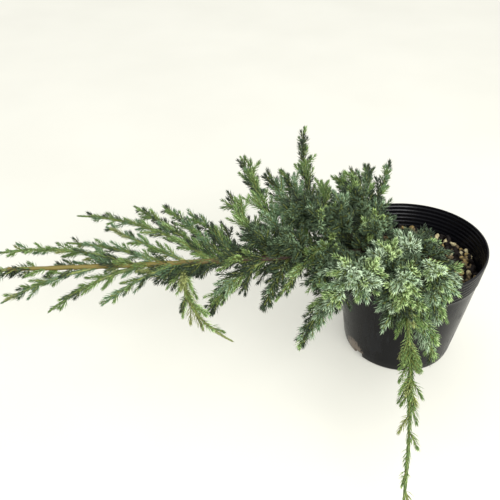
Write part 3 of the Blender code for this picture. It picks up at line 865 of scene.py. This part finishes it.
def grow_limbs():
    """Each limb's axis and radii, as the solids have them."""
    grown = {}
    for limb in LIMBS:
        start = foot_of(limb, grown[limb.parent], limb.foot) if limb.parent else np.array(TRUNK_FOOT)
        steps = LIMB_STEPS.get(limb.name, SHORT_LIMB_STEPS)
        path = bowed_path(start, limb, np.linalg.norm(np.array(limb.tip) - start) / steps)
        grown[limb.name] = Grown(path, np.linspace(limb.foot, limb.end, len(path)))
    trunk = grown["trunk"]
    climbed = np.linspace(0, trunk.length(), len(trunk.path))
    trunk.radii *= 1 + ROOT_FLARE * np.exp(-climbed / ROOT_FLARE_LENGTH)
    return grown


def grow_stems(limbs):
    """The stem of each mass, as the solids have it."""
    stems = {}
    for mass in MASSES:
        path = bowed_path(foot_of(mass, limbs[mass.parent], STEM_CORE[0]), mass, STEM_STEP)
        stems[mass.name] = Grown(path, np.linspace(*STEM_CORE, len(path)))
    return stems


def side_vectors(points):
    """Three unit vectors at each point of a path: two across it, that don't twist, and one along it."""
    ways = np.gradient(points, axis=0)
    ways /= np.linalg.norm(ways, axis=1)[:, None]
    first = np.cross(ways[0], UP)
    if np.linalg.norm(first) < 0.1:
        first = np.cross(ways[0], [0.0, 1.0, 0.0])
    across = [unit(first)]
    for way in ways[1:]:
        across.append(unit(across[-1] - way * (across[-1] @ way)))
    across = np.array(across)
    return across, np.cross(ways, across), ways


def distance_to_path(points, path):
    """The distance of each point from a polyline."""
    start, step = path[:-1], np.diff(path, axis=0)
    apart = points[:, None, :] - start[None]
    share = np.clip((apart * step).sum(2) / (step * step).sum(1), 0.0, 1.0)
    return np.linalg.norm(apart - share[..., None] * step, axis=2).min(1)


def in_pot(points, margin):
    """Whether each point is in, or nearer than the margin to, the pot's wall or the growing mix."""
    z = points[:, 2]
    r = np.hypot(points[:, 0], points[:, 1])
    wall = pot_radius(z) * out_of_round(np.arctan2(points[:, 1], points[:, 0]), z)
    half = 0.5 * WALL
    near_wall = (z < POT_HEIGHT + margin) & (np.abs(r - wall + half) < half + RIB_DEPTH + margin)
    in_soil = (z < SOIL_LEVEL + SOIL_DOME + margin) & (r < wall)
    return near_wall | in_soil


class Space:
    """What shoots may fill: each mass's own space for its main shoots, and the free air for finer ones."""

    def __init__(self, limbs, stems):
        self.limbs = limbs
        self.stems = stems

    def own(self, points, name):
        """Whether the points lie in the space of this mass, as the solids keep to it."""
        z = points[:, 2]
        r = np.hypot(points[:, 0], points[:, 1])
        slack = POT_MARGIN + RIM_RADIUS * RIM_WAVE
        near_wall = (z < POT_HEIGHT + POT_MARGIN) & (np.abs(r - pot_radius(z) + 0.5 * WALL) < slack)
        in_soil = (z < SOIL_LEVEL + SOIL_DOME + POT_MARGIN) & (r < pot_radius(z))
        ok = (z > GROUND_MARGIN) & ~near_wall & ~in_soil
        for limb in self.limbs.values():
            ok &= distance_to_path(points, limb.path) > limb.radii.max() + SPACE_MARGIN
        mine = distance_to_path(points, self.stems[name].path)
        for other, stem in self.stems.items():
            if other != name:
                ok &= mine + SPACE_MARGIN < distance_to_path(points, stem.path)
        return bool(ok.all())

    def free(self, points, margin=0.4):
        """Whether each point is clear of ground, pot, mix and limbs."""
        ok = (points[:, 2] > 1.0) & ~in_pot(points, margin)
        for limb in self.limbs.values():
            ok &= distance_to_path(points, limb.path) > limb.radii.mean()
        return ok


def leaning(way, side, roll, lean):
    """A unit vector that leans from way by this many degrees, in the direction that is roll from side."""
    out = math.cos(math.radians(roll)) * side + math.sin(math.radians(roll)) * np.cross(side, way)
    return math.cos(math.radians(lean)) * way + math.sin(math.radians(lean)) * out


def aim_from(way, roll, lean):
    """Like leaning, from a level side, or from the X axis where the way is nearly upright."""
    side = unit(np.cross(way, UP)) if abs(way[2]) < UPRIGHT else np.array([1.0, 0.0, 0.0])
    return leaning(way, side, roll, lean)


def twigs_of(mass, stem, order):
    """The seeded rule for side shoots: (root, way of the stem, way of the shoot, length) of each."""
    dice = random.Random(TWIG_SEED + order)
    roll = dice.uniform(0, 360)
    count = EXTRA_TWIGS + round(TWIGS_ALONG * stem.length() / TWIG_SPACING)
    for i in range(count):
        spot = (i + dice.uniform(-TWIG_SHIFT, TWIG_SHIFT)) / count
        share = TWIGS_FROM + TWIGS_ALONG * spot
        roll += GOLDEN_ANGLE + dice.uniform(-TWIG_ROLL, TWIG_ROLL)
        length = mass.reach * (1 - TWIG_TAPER * share) * dice.uniform(*TWIG_LENGTHS)
        root, way, _ = stem.at(share)
        lean = TWIG_ANGLE + dice.uniform(-TWIG_SPREAD, TWIG_SPREAD)
        yield root, way, leaning(way, unit(np.cross(way, UP)), roll, lean), length


def twig_path(root, way, aim, length, step=TWIG_STEP):
    """A side shoot's path, which sets out along aim and curls towards the way of its stem."""
    s = np.linspace(0, length, max(3, round(length / step)) + 1)[:, None]
    return root + aim * s + way * TWIG_CURL * s**2 / length


# Finer shoots

@dataclass
class Shoot:
    """A leafy shoot: its axis, its core's radii, the part that it belongs to, its tint and its bare foot."""

    path: np.ndarray
    radii: tuple
    part: str
    tint: str
    bare: float = 0.0


# Each needle tint as (bloom, keel). The two darkest tints are partly painted shade: the heart and the inner
# shoots get them, where shade falls
TINTS = {
    "silver": ("#B4C8A6", "#6E8366"),
    "blue": ("#9CB38E", "#4A6444"),
    "mint": ("#ABC284", "#5C763E"),
    "green": ("#8BA25E", "#4B6230"),
    "olive": ("#9CA466", "#6A7240"),
    "deep": ("#697F5C", "#273820"),
    "shade": ("#42543A", "#1A2614"),
}


def part_of(mass):
    """The part of the plant that the mass is clothed like."""
    if "crest" in mass.name or "upright" in mass.name or mass.name in ("low_spray", "crossing_spray"):
        return "crest"
    if mass.name in ("hanging_spray", "drooping_spray"):
        return "hanging"
    if mass.name == "leader_tip_spray":
        return "front"
    if mass.parent == "leader_bough" and "tuft" not in mass.name:
        return "leader"
    return "front" if mass.parent in ("front_bough", "front_right_bough", "side_bough") else "heart"


def deal_tint(dice, part, inner=False):
    """A tint for one spray. Inner ones on old wood get the shade tint: partly needles without bloom, partly
    painted shade.
    """
    if inner and dice.random() < INNER_SHADE[part]:
        return "shade"
    shares = HABITS[part].tints
    return dice.choices(list(shares), list(shares.values()))[0]


def leafy_twig(dice, path, core, space, tint, part):
    """A leafy shoot, with shoots of the next order along it inside its own reach."""
    twig = Grown(path, np.linspace(*core, len(path)))
    length, step = twig.length(), HABITS[part].twiglet_step
    made = [Shoot(path, core, part, tint)]
    roll = dice.uniform(0, 360)
    for i in range(int(length / step) if step else 0):
        share = TWIGLETS_FROM + TWIGLETS_ALONG * (i + dice.uniform(0, TWIGLET_SHIFT)) * step / length
        roll += GOLDEN_ANGLE + dice.uniform(-TWIGLET_ROLL, TWIGLET_ROLL)
        size = TWIGLET_SHARE * length * (1 - TWIGLET_TAPER * share) * dice.uniform(*TWIGLET_LENGTHS)
        if share > TWIGLETS_TO or size < SHORTEST_TWIGLET:
            continue
        root, way, _ = twig.at(share)
        aim = aim_from(way, roll, TWIGLET_ANGLE + dice.uniform(-TWIGLET_SPREAD, TWIGLET_SPREAD))
        fine = twig_path(root, way, aim, size, FINE_STEP)
        if space.free(fine[1:], FINE_ROOM).all():
            made.append(Shoot(fine, TWIGLET_CORE, part, tint))
    return made


def grow_foliage(limbs, stems):
    """Every leafy shoot of the plant."""
    space = Space(limbs, stems)
    shoots = []
    for order, mass in enumerate(MASSES):
        dice = random.Random(FINE_SEED + order)
        stem, part = stems[mass.name], part_of(mass)
        path = bowed_path(foot_of(mass, limbs[mass.parent], STEM_CORE[0]), mass, FINE_STEP)
        path[0] = limbs[mass.parent].at(mass.at)[0]
        shoots.append(Shoot(path, STEM_SHOOT_CORE, part, deal_tint(dice, part), STEM_BARE))
        for root, way, aim, length in twigs_of(mass, stem, order):
            while length > SHORTEST_TWIG and not space.own(twig_path(root, way, aim, length)[1:], mass.name):
                length *= TWIG_CUT
            if length <= HABITS[part].shortest:
                continue
            path = twig_path(root, way, aim, length, FINE_STEP)
            if space.free(path[2:], FINE_ROOM).all():
                shoots += leafy_twig(dice, path, TWIG_CORE, space, deal_tint(dice, part), part)
        shoots += grow_fillers(dice, mass, stem, space, part)
    leader = limbs["leader_bough"]
    for stretch in LEADER_NEEDLES:
        rows = [leader.at(share) for share in np.linspace(*stretch, LEADER_POINTS)]
        path, radii = np.array([row[0] for row in rows]), (rows[0][2], rows[-1][2])
        shoots.append(Shoot(path, radii, "leader", "green"))
    return shoots + grow_spurs(limbs, space)


def grow_fillers(dice, mass, stem, space, part):
    """Short shoots on the stem itself, between its side shoots and within their reach."""
    habit = HABITS[part]
    tufts = HANGING_TUFTS if part == "hanging" else ((0, FILLERS_TO),)
    made = []
    roll = dice.uniform(0, 360)
    for i in range(int(stem.length() / habit.filler_step)):
        share = (i + dice.uniform(*FILLER_SHIFT)) * habit.filler_step / stem.length()
        roll += GOLDEN_ANGLE + dice.uniform(-SHORT_SHOOT_ROLL, SHORT_SHOOT_ROLL)
        if not any(low < share < high for low, high in tufts):
            continue
        root, way, _ = stem.at(share)
        size = habit.filler_share * mass.reach * (1 - TWIG_TAPER * share) * dice.uniform(*FILLER_LENGTHS)
        path = twig_path(root, way, aim_from(way, roll, dice.uniform(*FILLER_ANGLES)), size, FINE_STEP)
        if not space.free(path[2:], FINE_ROOM).all():
            continue
        tint = deal_tint(dice, part, inner=True)
        if size > TWIGGY_FILLER:
            made += leafy_twig(dice, path, FILLER_CORE, space, tint, part)
        else:
            made.append(Shoot(path, FILLER_CORE, part, tint))
    return made


def grow_spurs(limbs, space):
    """Leafy spurs on the boughs, which hide most of their bark. The outer leader stays nearly bare."""
    made = []
    for order, limb in enumerate(LIMBS[1:] + LIMBS[:1]):
        dice = random.Random(SPUR_SEED + order)
        grown = limbs[limb.name]
        roll = dice.uniform(0, 360)
        leader = limb.name == "leader_bough"
        step = LEADER_SPUR_STEP if leader else SPUR_STEP
        for i in range(int(grown.length() / step)):
            share = min((i + dice.uniform(*SPUR_SHIFT)) * step / grown.length(), SPURS_TO)
            roll += GOLDEN_ANGLE + dice.uniform(-SHORT_SHOOT_ROLL, SHORT_SHOOT_ROLL)
            part, lengths = "heart", SPUR_LENGTHS
            if leader:
                row = next(row for row in LEADER_SPURS if share < row.until)
                if dice.random() > row.keep:
                    continue
                part, lengths = row.part, row.lengths
                roll = dice.uniform(*row.rolls)
            if limb.name == "trunk" and share < TRUNK_SPURS_FROM:
                continue
            root, way, _ = grown.at(share)
            size = dice.uniform(*lengths)
            path = twig_path(root, way, aim_from(way, roll, dice.uniform(*SPUR_ANGLES)), size, FINE_STEP)
            clear = (path[2:, 2] > GROUND_MARGIN) & ~in_pot(path[2:], FINE_ROOM)
            if clear.all():
                tint = deal_tint(dice, part, inner=True)
                made += leafy_twig(dice, path, SPUR_CORE, space, tint, part)
    return made


# Needles

@dataclass
class Needles:
    """Rows for many needles. way is along the shoot, out is away from it, sizes is (length, width, youth)."""

    foot: list = field(default_factory=list)
    way: list = field(default_factory=list)
    out: list = field(default_factory=list)
    leans: list = field(default_factory=list)
    sizes: list = field(default_factory=list)

    def columns(self):
        return self.foot, self.way, self.out, self.leans, self.sizes

    def add(self, rows):
        for column, new in zip(self.columns(), rows):
            column.append(new)

    def arrays(self):
        return [np.concatenate(column) for column in self.columns()]


def needle_spots(shoot, settings, dice):
    """The whorls of one shoot as rows for Needles. Towards the tip they shorten and close up to a point."""
    path, habit = shoot.path, HABITS[shoot.part]
    steps = np.linalg.norm(np.diff(path, axis=0), axis=1)
    climbed = np.concatenate([[0], np.cumsum(steps)])
    length = climbed[-1]
    across, up, ways = side_vectors(path)
    spots = list(np.arange(shoot.bare + 0.4 * habit.whorl_step, length - TIP_REST, habit.whorl_step))
    spots += [length - back for back in TIP_WHORLS]
    pressed = habit.pressed * min(1.0, length / LONG_SHOOT)
    long = habit.needle * settings.needle_length / MM
    wide = settings.needle_width / MM * (0.6 + 0.4 * habit.needle)
    rows = []
    roll = dice.uniform(0, 2 * math.pi)
    for order, s in enumerate(spots):
        low = min(int(np.searchsorted(climbed, s, side="right")) - 1, len(path) - 2)
        part = (s - climbed[low]) / steps[low]
        centre, first, second, way = (
            column[low] * (1 - part) + column[low + 1] * part for column in (path, across, up, ways)
        )
        near_tip = math.exp(-(length - s) / (TIP_FADE[0] + TIP_FADE[1] * length))
        closing, shortening = 1 - TIP_CLOSES * near_tip, 1 - TIP_SHORTENS * near_tip
        pressing, packing = 1 - pressed * s / length, 1 - TIP_SHORTENS * pressed * s / length
        radius = shoot.radii[0] + (shoot.radii[1] - shoot.radii[0]) * s / length
        for i in range(NEEDLES):
            a = roll + math.pi * order / NEEDLES + 2 * math.pi * i / NEEDLES
            a += dice.uniform(-NEEDLE_ROLL, NEEDLE_ROLL)
            out = math.cos(a) * first + math.sin(a) * second
            lean = habit.lean * dice.uniform(*NEEDLE_LEANS) * closing * pressing
            leans = (math.radians(lean), math.radians(lean - dice.uniform(*NEEDLE_CURL)))
            size = long * dice.uniform(*NEEDLE_LENGTHS) * shortening * packing
            width = wide * dice.uniform(*NEEDLE_WIDTHS)
            rows.append((centre + out * radius * NEEDLE_DEPTH, way, out, leans, (size, width, near_tip)))
    return [np.array(column) for column in zip(*rows)]


def needle_meshes(foot, way, out, leans, sizes):
    """Points, triangles and slots of many needles: spindles with a flat pale face and a green keel."""
    side = np.cross(way, out)
    length, width = sizes[:, :1], sizes[:, 1:2]
    first, last = leans[:, :1], leans[:, 1:]
    middle = foot + NEEDLE_WAIST * length * (np.cos(first) * way + np.sin(first) * out)
    tip = middle + (1 - NEEDLE_WAIST) * length * (np.cos(last) * way + np.sin(last) * out)
    face = np.sin(first) * way - np.cos(first) * out
    half = 0.5 * width
    keel = middle - face * NEEDLE_KEEL * half
    points = np.stack([foot, middle + side * half, middle - side * half, keel, tip], axis=1)
    faces = np.array([(0, 1, 2), (0, 3, 1), (0, 2, 3), (4, 2, 1), (4, 1, 3), (4, 3, 2)])
    slots = np.where(sizes[:, 2:] > YOUNG, [2, 1, 1, 0, 1, 1], [0, 1, 1, 0, 1, 1])
    offsets = (5 * np.arange(len(foot)))[:, None, None]
    return points.reshape(-1, 3), (faces[None] + offsets).reshape(-1, 3), slots.ravel()


def needle_wax(tint):
    """A needle's wax: pale with bloom on the flat face, greener on the keel, and in between while young."""
    bloom, keel = (linear(code) for code in TINTS[tint])
    young = [0.5 * (one + other) for one, other in zip(bloom, keel)]
    grades = (("bloom", bloom, 0.8, 0.62), ("skin", keel, 0.75, 0.5), ("young", young, 0.8, 0.56))
    return [
        mottled(
            f"needle_{grade}_{tint}", colour, [darker * c for c in colour], 3.0, roughness,
            values={"Specular IOR Level": 0.3},
        )
        for grade, colour, darker, roughness in grades
    ]


def build_needles(shoots, space, settings):
    """All needles, joined by tint."""
    rows = {tint: Needles() for tint in TINTS}
    for order, shoot in enumerate(shoots):
        rows[shoot.tint].add(needle_spots(shoot, settings, random.Random(NEEDLE_SEED + order)))
    for tint, needles in rows.items():
        foot, way, out, leans, sizes = needles.arrays()
        lean = leans.mean(1)[:, None]
        along = np.cos(lean) * way + np.sin(lean) * out
        middle, tip = foot + 0.5 * sizes[:, :1] * along, foot + sizes[:, :1] * along
        ok = space.free(tip) & space.free(middle)
        points, faces, slots = needle_meshes(foot[ok], way[ok], out[ok], leans[ok], sizes[ok])
        obj = add_mesh(f"needles_{tint}", points, faces, needle_wax(tint), slots)
        place(obj, "foliage", *[mass.name for mass in MASSES])


# Bark

BARK_STEP = 0.8
BARK_ROUNDINGS = 6

# The bark's relief: each layer's waves round the limb, its run along the limb and its share of the height
BARK_LAYERS = ((1.6, 7.0, 1.6), (3.5, 2.5, 1.0))


def tube(path, radii, sides, relief=None):
    """A closed tube along a path, as (points, faces). relief(ring, side) is added to the radius."""
    across, up, _ = side_vectors(path)
    points = []
    for ring, (centre, radius) in enumerate(zip(path, radii)):
        for i in range(sides):
            a = 2 * math.pi * i / sides
            r = radius + (relief(ring, i) if relief else 0.0)
            points.append(centre + r * (math.cos(a) * across[ring] + math.sin(a) * up[ring]))
    return np.array([*points, path[0], path[-1]]), np.array(closed_faces(len(path), sides))


def smooth_path(grown):
    """The same axis and radii at closer steps, with the axis's corners rounded."""
    count = max(4, int(grown.length() / BARK_STEP))
    rows = [grown.at(share) for share in np.linspace(0, 1, count + 1)]
    path = np.array([row[0] for row in rows])
    for _ in range(BARK_ROUNDINGS):
        path[1:-1] = 0.25 * path[:-2] + 0.5 * path[1:-1] + 0.25 * path[2:]
    return path, np.array([row[2] for row in rows])


def juniper_bark(settings):
    """Thin bark: ridged and flaking on the old wood, and smooth ochre where the leader is young. The old
    wood's dark colour is partly painted shade, for the boughs inside the crown.
    """
    dull = {"Specular IOR Level": 0.3}
    material = mottled("juniper_bark", settings.bark, settings.flake, 1.6, 0.72, relief_mm=0.3, values=dull)
    tree = material.node_tree
    base = tree.nodes["Principled BSDF"].inputs["Base Color"]
    old = base.links[0].from_socket
    where = add_node(tree, "ShaderNodeTexCoord").outputs["Object"]
    along = add_node(tree, "ShaderNodeSeparateXYZ", {}, {"Vector": where})
    # From dark old wood to pale young wood along X: partly painted shade, as the inner wood lies in the
    # crown's shade
    ages = {"From Min": OLD_WOOD_X * MM, "From Max": YOUNG_WOOD_X * MM}
    young = add_node(tree, "ShaderNodeMapRange", ages, {"Value": along})
    colour = add_node(
        tree, "ShaderNodeMix", {7: (*settings.young, 1)}, {0: young, 6: old}, data_type="RGBA"
    )
    tree.links.new(colour.outputs[2], base)
    return material


def build_limbs(limbs, settings):
    """Trunk and boughs with the ridges and flakes of their bark."""
    thin_bark = juniper_bark(settings)
    for order, limb in enumerate(LIMBS):
        path, radii = smooth_path(limbs[limb.name])
        sides = 22 if limb.foot > 2.5 else 16

        def relief(ring, i):
            a = 2 * math.pi * i / sides
            height = 0.0
            for waves, run, share in BARK_LAYERS:
                spot = Vector((waves * math.cos(a), waves * math.sin(a), ring * BARK_STEP / run + 10 * order))
                height += share * noise.noise(spot)
            return settings.ridge / MM * min(1.0, radii[ring] / 2) * height

        points, faces = tube(path, radii, sides, relief)
        if not limb.parent:
            points[:sides, 2] = TRUNK_FOOT[2]
            points[-2, 2] = TRUNK_FOOT[2]
        obj = add_mesh(f"{limb.name}_bark", points, faces, [thin_bark])
        obj.data.shade_smooth()
        obj.data.set_sharp_from_angle(angle=math.radians(60))
        place(obj, "bark", limb.name)


def build_shoots(shoots, settings):
    """The green cores of all leafy shoots."""
    # Green rind of young shoots: smooth and dull, a little darker in places
    rind = mottled("young_shoot_rind", settings.rind, linear("#484E24"), 3.0, 0.6)
    cores = []
    for shoot in shoots:
        radii = np.linspace(*shoot.radii, len(shoot.path))
        cores.append(tube(shoot.path, radii, 6 if shoot.bare else 4))
    obj = add_mesh("green_shoots", *joined(cores), [rind])
    obj.data.shade_smooth()
    place(obj, "foliage", *[mass.name for mass in MASSES])


# Stage

CAMERA_PLACE = (-0.1134, -0.3723, 0.3496)
CAMERA_PITCH = 54.2
CAMERA_LENS = 46.8
CAMERA_SENSOR = 36.0
KEY_PLACE = (0.25, -0.85, 0.75)
KEY_AIM = (-0.1, -0.02, 0.08)
KEY_SIZE = 0.8
KEY_POWER = 26
FLOOR_HALF = 3.0


def build_stage(settings):
    """A pale floor that glows as painted light, even white surroundings, a soft key light and the camera at
    the photograph's angle.
    """
    corners = np.array([(-1, -1, 0), (1, -1, 0), (1, 1, 0), (-1, 1, 0)]) * FLOOR_HALF / MM
    # Pale floor that glows though it is no lamp: painted light, so that shadows on it stay pale. No texture
    # to see
    painted_glow = {"Emission Color": (*settings.painted_floor_glow, 1), "Emission Strength": 1.0}
    glowing_floor = mottled("lit_pale_acrylic", settings.floor, linear("#93928A"), 160.0, 0.9, values=painted_glow)
    add_mesh("floor", corners, [(0, 1, 2, 3)], [glowing_floor])

    world = bpy.data.worlds.new("white_surroundings")
    bpy.context.scene.world = world
    world.use_nodes = True
    tree = world.node_tree
    sky = tree.nodes["Background"]
    sky.inputs["Color"].default_value = (*linear("#FFFFFF"), 1)
    way = add_node(tree, "ShaderNodeTexCoord").outputs["Generated"]
    height = add_node(tree, "ShaderNodeSeparateXYZ", {}, {"Vector": way}).outputs["Z"]
    levels = {"To Min": settings.horizon, "To Max": settings.zenith}
    bright = add_node(tree, "ShaderNodeMapRange", levels, {"Value": height})
    tree.links.new(bright.outputs["Result"], sky.inputs["Strength"])

    key = bpy.data.lights.new("key_light", "AREA")
    key.energy = KEY_POWER
    key.size = KEY_SIZE
    lamp = add_object("key_light", key)
    lamp.location = KEY_PLACE
    lamp.rotation_euler = (Vector(KEY_AIM) - lamp.location).to_track_quat("-Z", "Y").to_euler()

    lens = bpy.data.cameras.new("camera")
    lens.lens = CAMERA_LENS
    lens.sensor_width = CAMERA_SENSOR
    lens.clip_start = 0.01
    camera = add_object("camera", lens)
    camera.location = CAMERA_PLACE
    camera.rotation_euler = (math.radians(CAMERA_PITCH), 0, 0)
    bpy.context.scene.camera = camera
    bpy.context.scene.view_settings.view_transform = "Standard"


# Operators

class JUNIPER_OT_pot(Operator):
    """Builds the soft black pot"""

    bl_idname = "juniper.pot"
    bl_label = "Pot"

    def execute(self, context):
        build_pot(context.scene.juniper.pot)
        return {"FINISHED"}


class JUNIPER_OT_mix(Operator):
    """Builds the growing mix and its loose grains"""

    bl_idname = "juniper.mix"
    bl_label = "Growing mix"

    def execute(self, context):
        build_bed(context.scene.juniper.mix)
        build_grains(context.scene.juniper.mix)
        return {"FINISHED"}


class JUNIPER_OT_limbs(Operator):
    """Builds the bark of the trunk and the boughs"""

    bl_idname = "juniper.limbs"
    bl_label = "Trunk and boughs"

    def execute(self, context):
        build_limbs(grow_limbs(), context.scene.juniper.bark)
        return {"FINISHED"}


class JUNIPER_OT_foliage(Operator):
    """Grows the shoots and their needles"""

    bl_idname = "juniper.foliage"
    bl_label = "Shoots and needles"

    def execute(self, context):
        settings = context.scene.juniper.foliage
        limbs = grow_limbs()
        stems = grow_stems(limbs)
        shoots = grow_foliage(limbs, stems)
        build_shoots(shoots, settings)
        build_needles(shoots, Space(limbs, stems), settings)
        return {"FINISHED"}


class JUNIPER_OT_stage(Operator):
    """Builds the floor, the light and the camera"""

    bl_idname = "juniper.stage"
    bl_label = "Stage"

    def execute(self, context):
        build_stage(context.scene.juniper.stage)
        return {"FINISHED"}


OPERATORS = (JUNIPER_OT_pot, JUNIPER_OT_mix, JUNIPER_OT_limbs, JUNIPER_OT_foliage, JUNIPER_OT_stage)


class JUNIPER_PT_panel(Panel):
    """Lists the operators and their settings"""

    bl_label = "Potted Juniper"
    bl_idname = "JUNIPER_PT_panel"
    bl_space_type = "VIEW_3D"
    bl_region_type = "UI"
    bl_category = "Juniper"

    def draw(self, context):
        for operator in OPERATORS:
            self.layout.operator(operator.bl_idname)
        settings = context.scene.juniper
        for group in (settings.pot, settings.mix, settings.bark, settings.foliage, settings.stage):
            box = self.layout.box()
            for key in group.__annotations__:
                box.prop(group, key)


CLASSES = (
    PotSettings,
    MixSettings,
    BarkSettings,
    FoliageSettings,
    StageSettings,
    JuniperSettings,
    *OPERATORS,
    JUNIPER_PT_panel,
)


def register():
    for cls in CLASSES:
        bpy.utils.register_class(cls)
    bpy.types.Scene.juniper = PointerProperty(type=JuniperSettings)


def unregister():
    del bpy.types.Scene.juniper
    for cls in reversed(CLASSES):
        bpy.utils.unregister_class(cls)


def main():
    register()
    bpy.ops.juniper.pot()
    bpy.ops.juniper.mix()
    bpy.ops.juniper.limbs()
    bpy.ops.juniper.foliage()
    bpy.ops.juniper.stage()


if __name__ == "__main__":
    main()
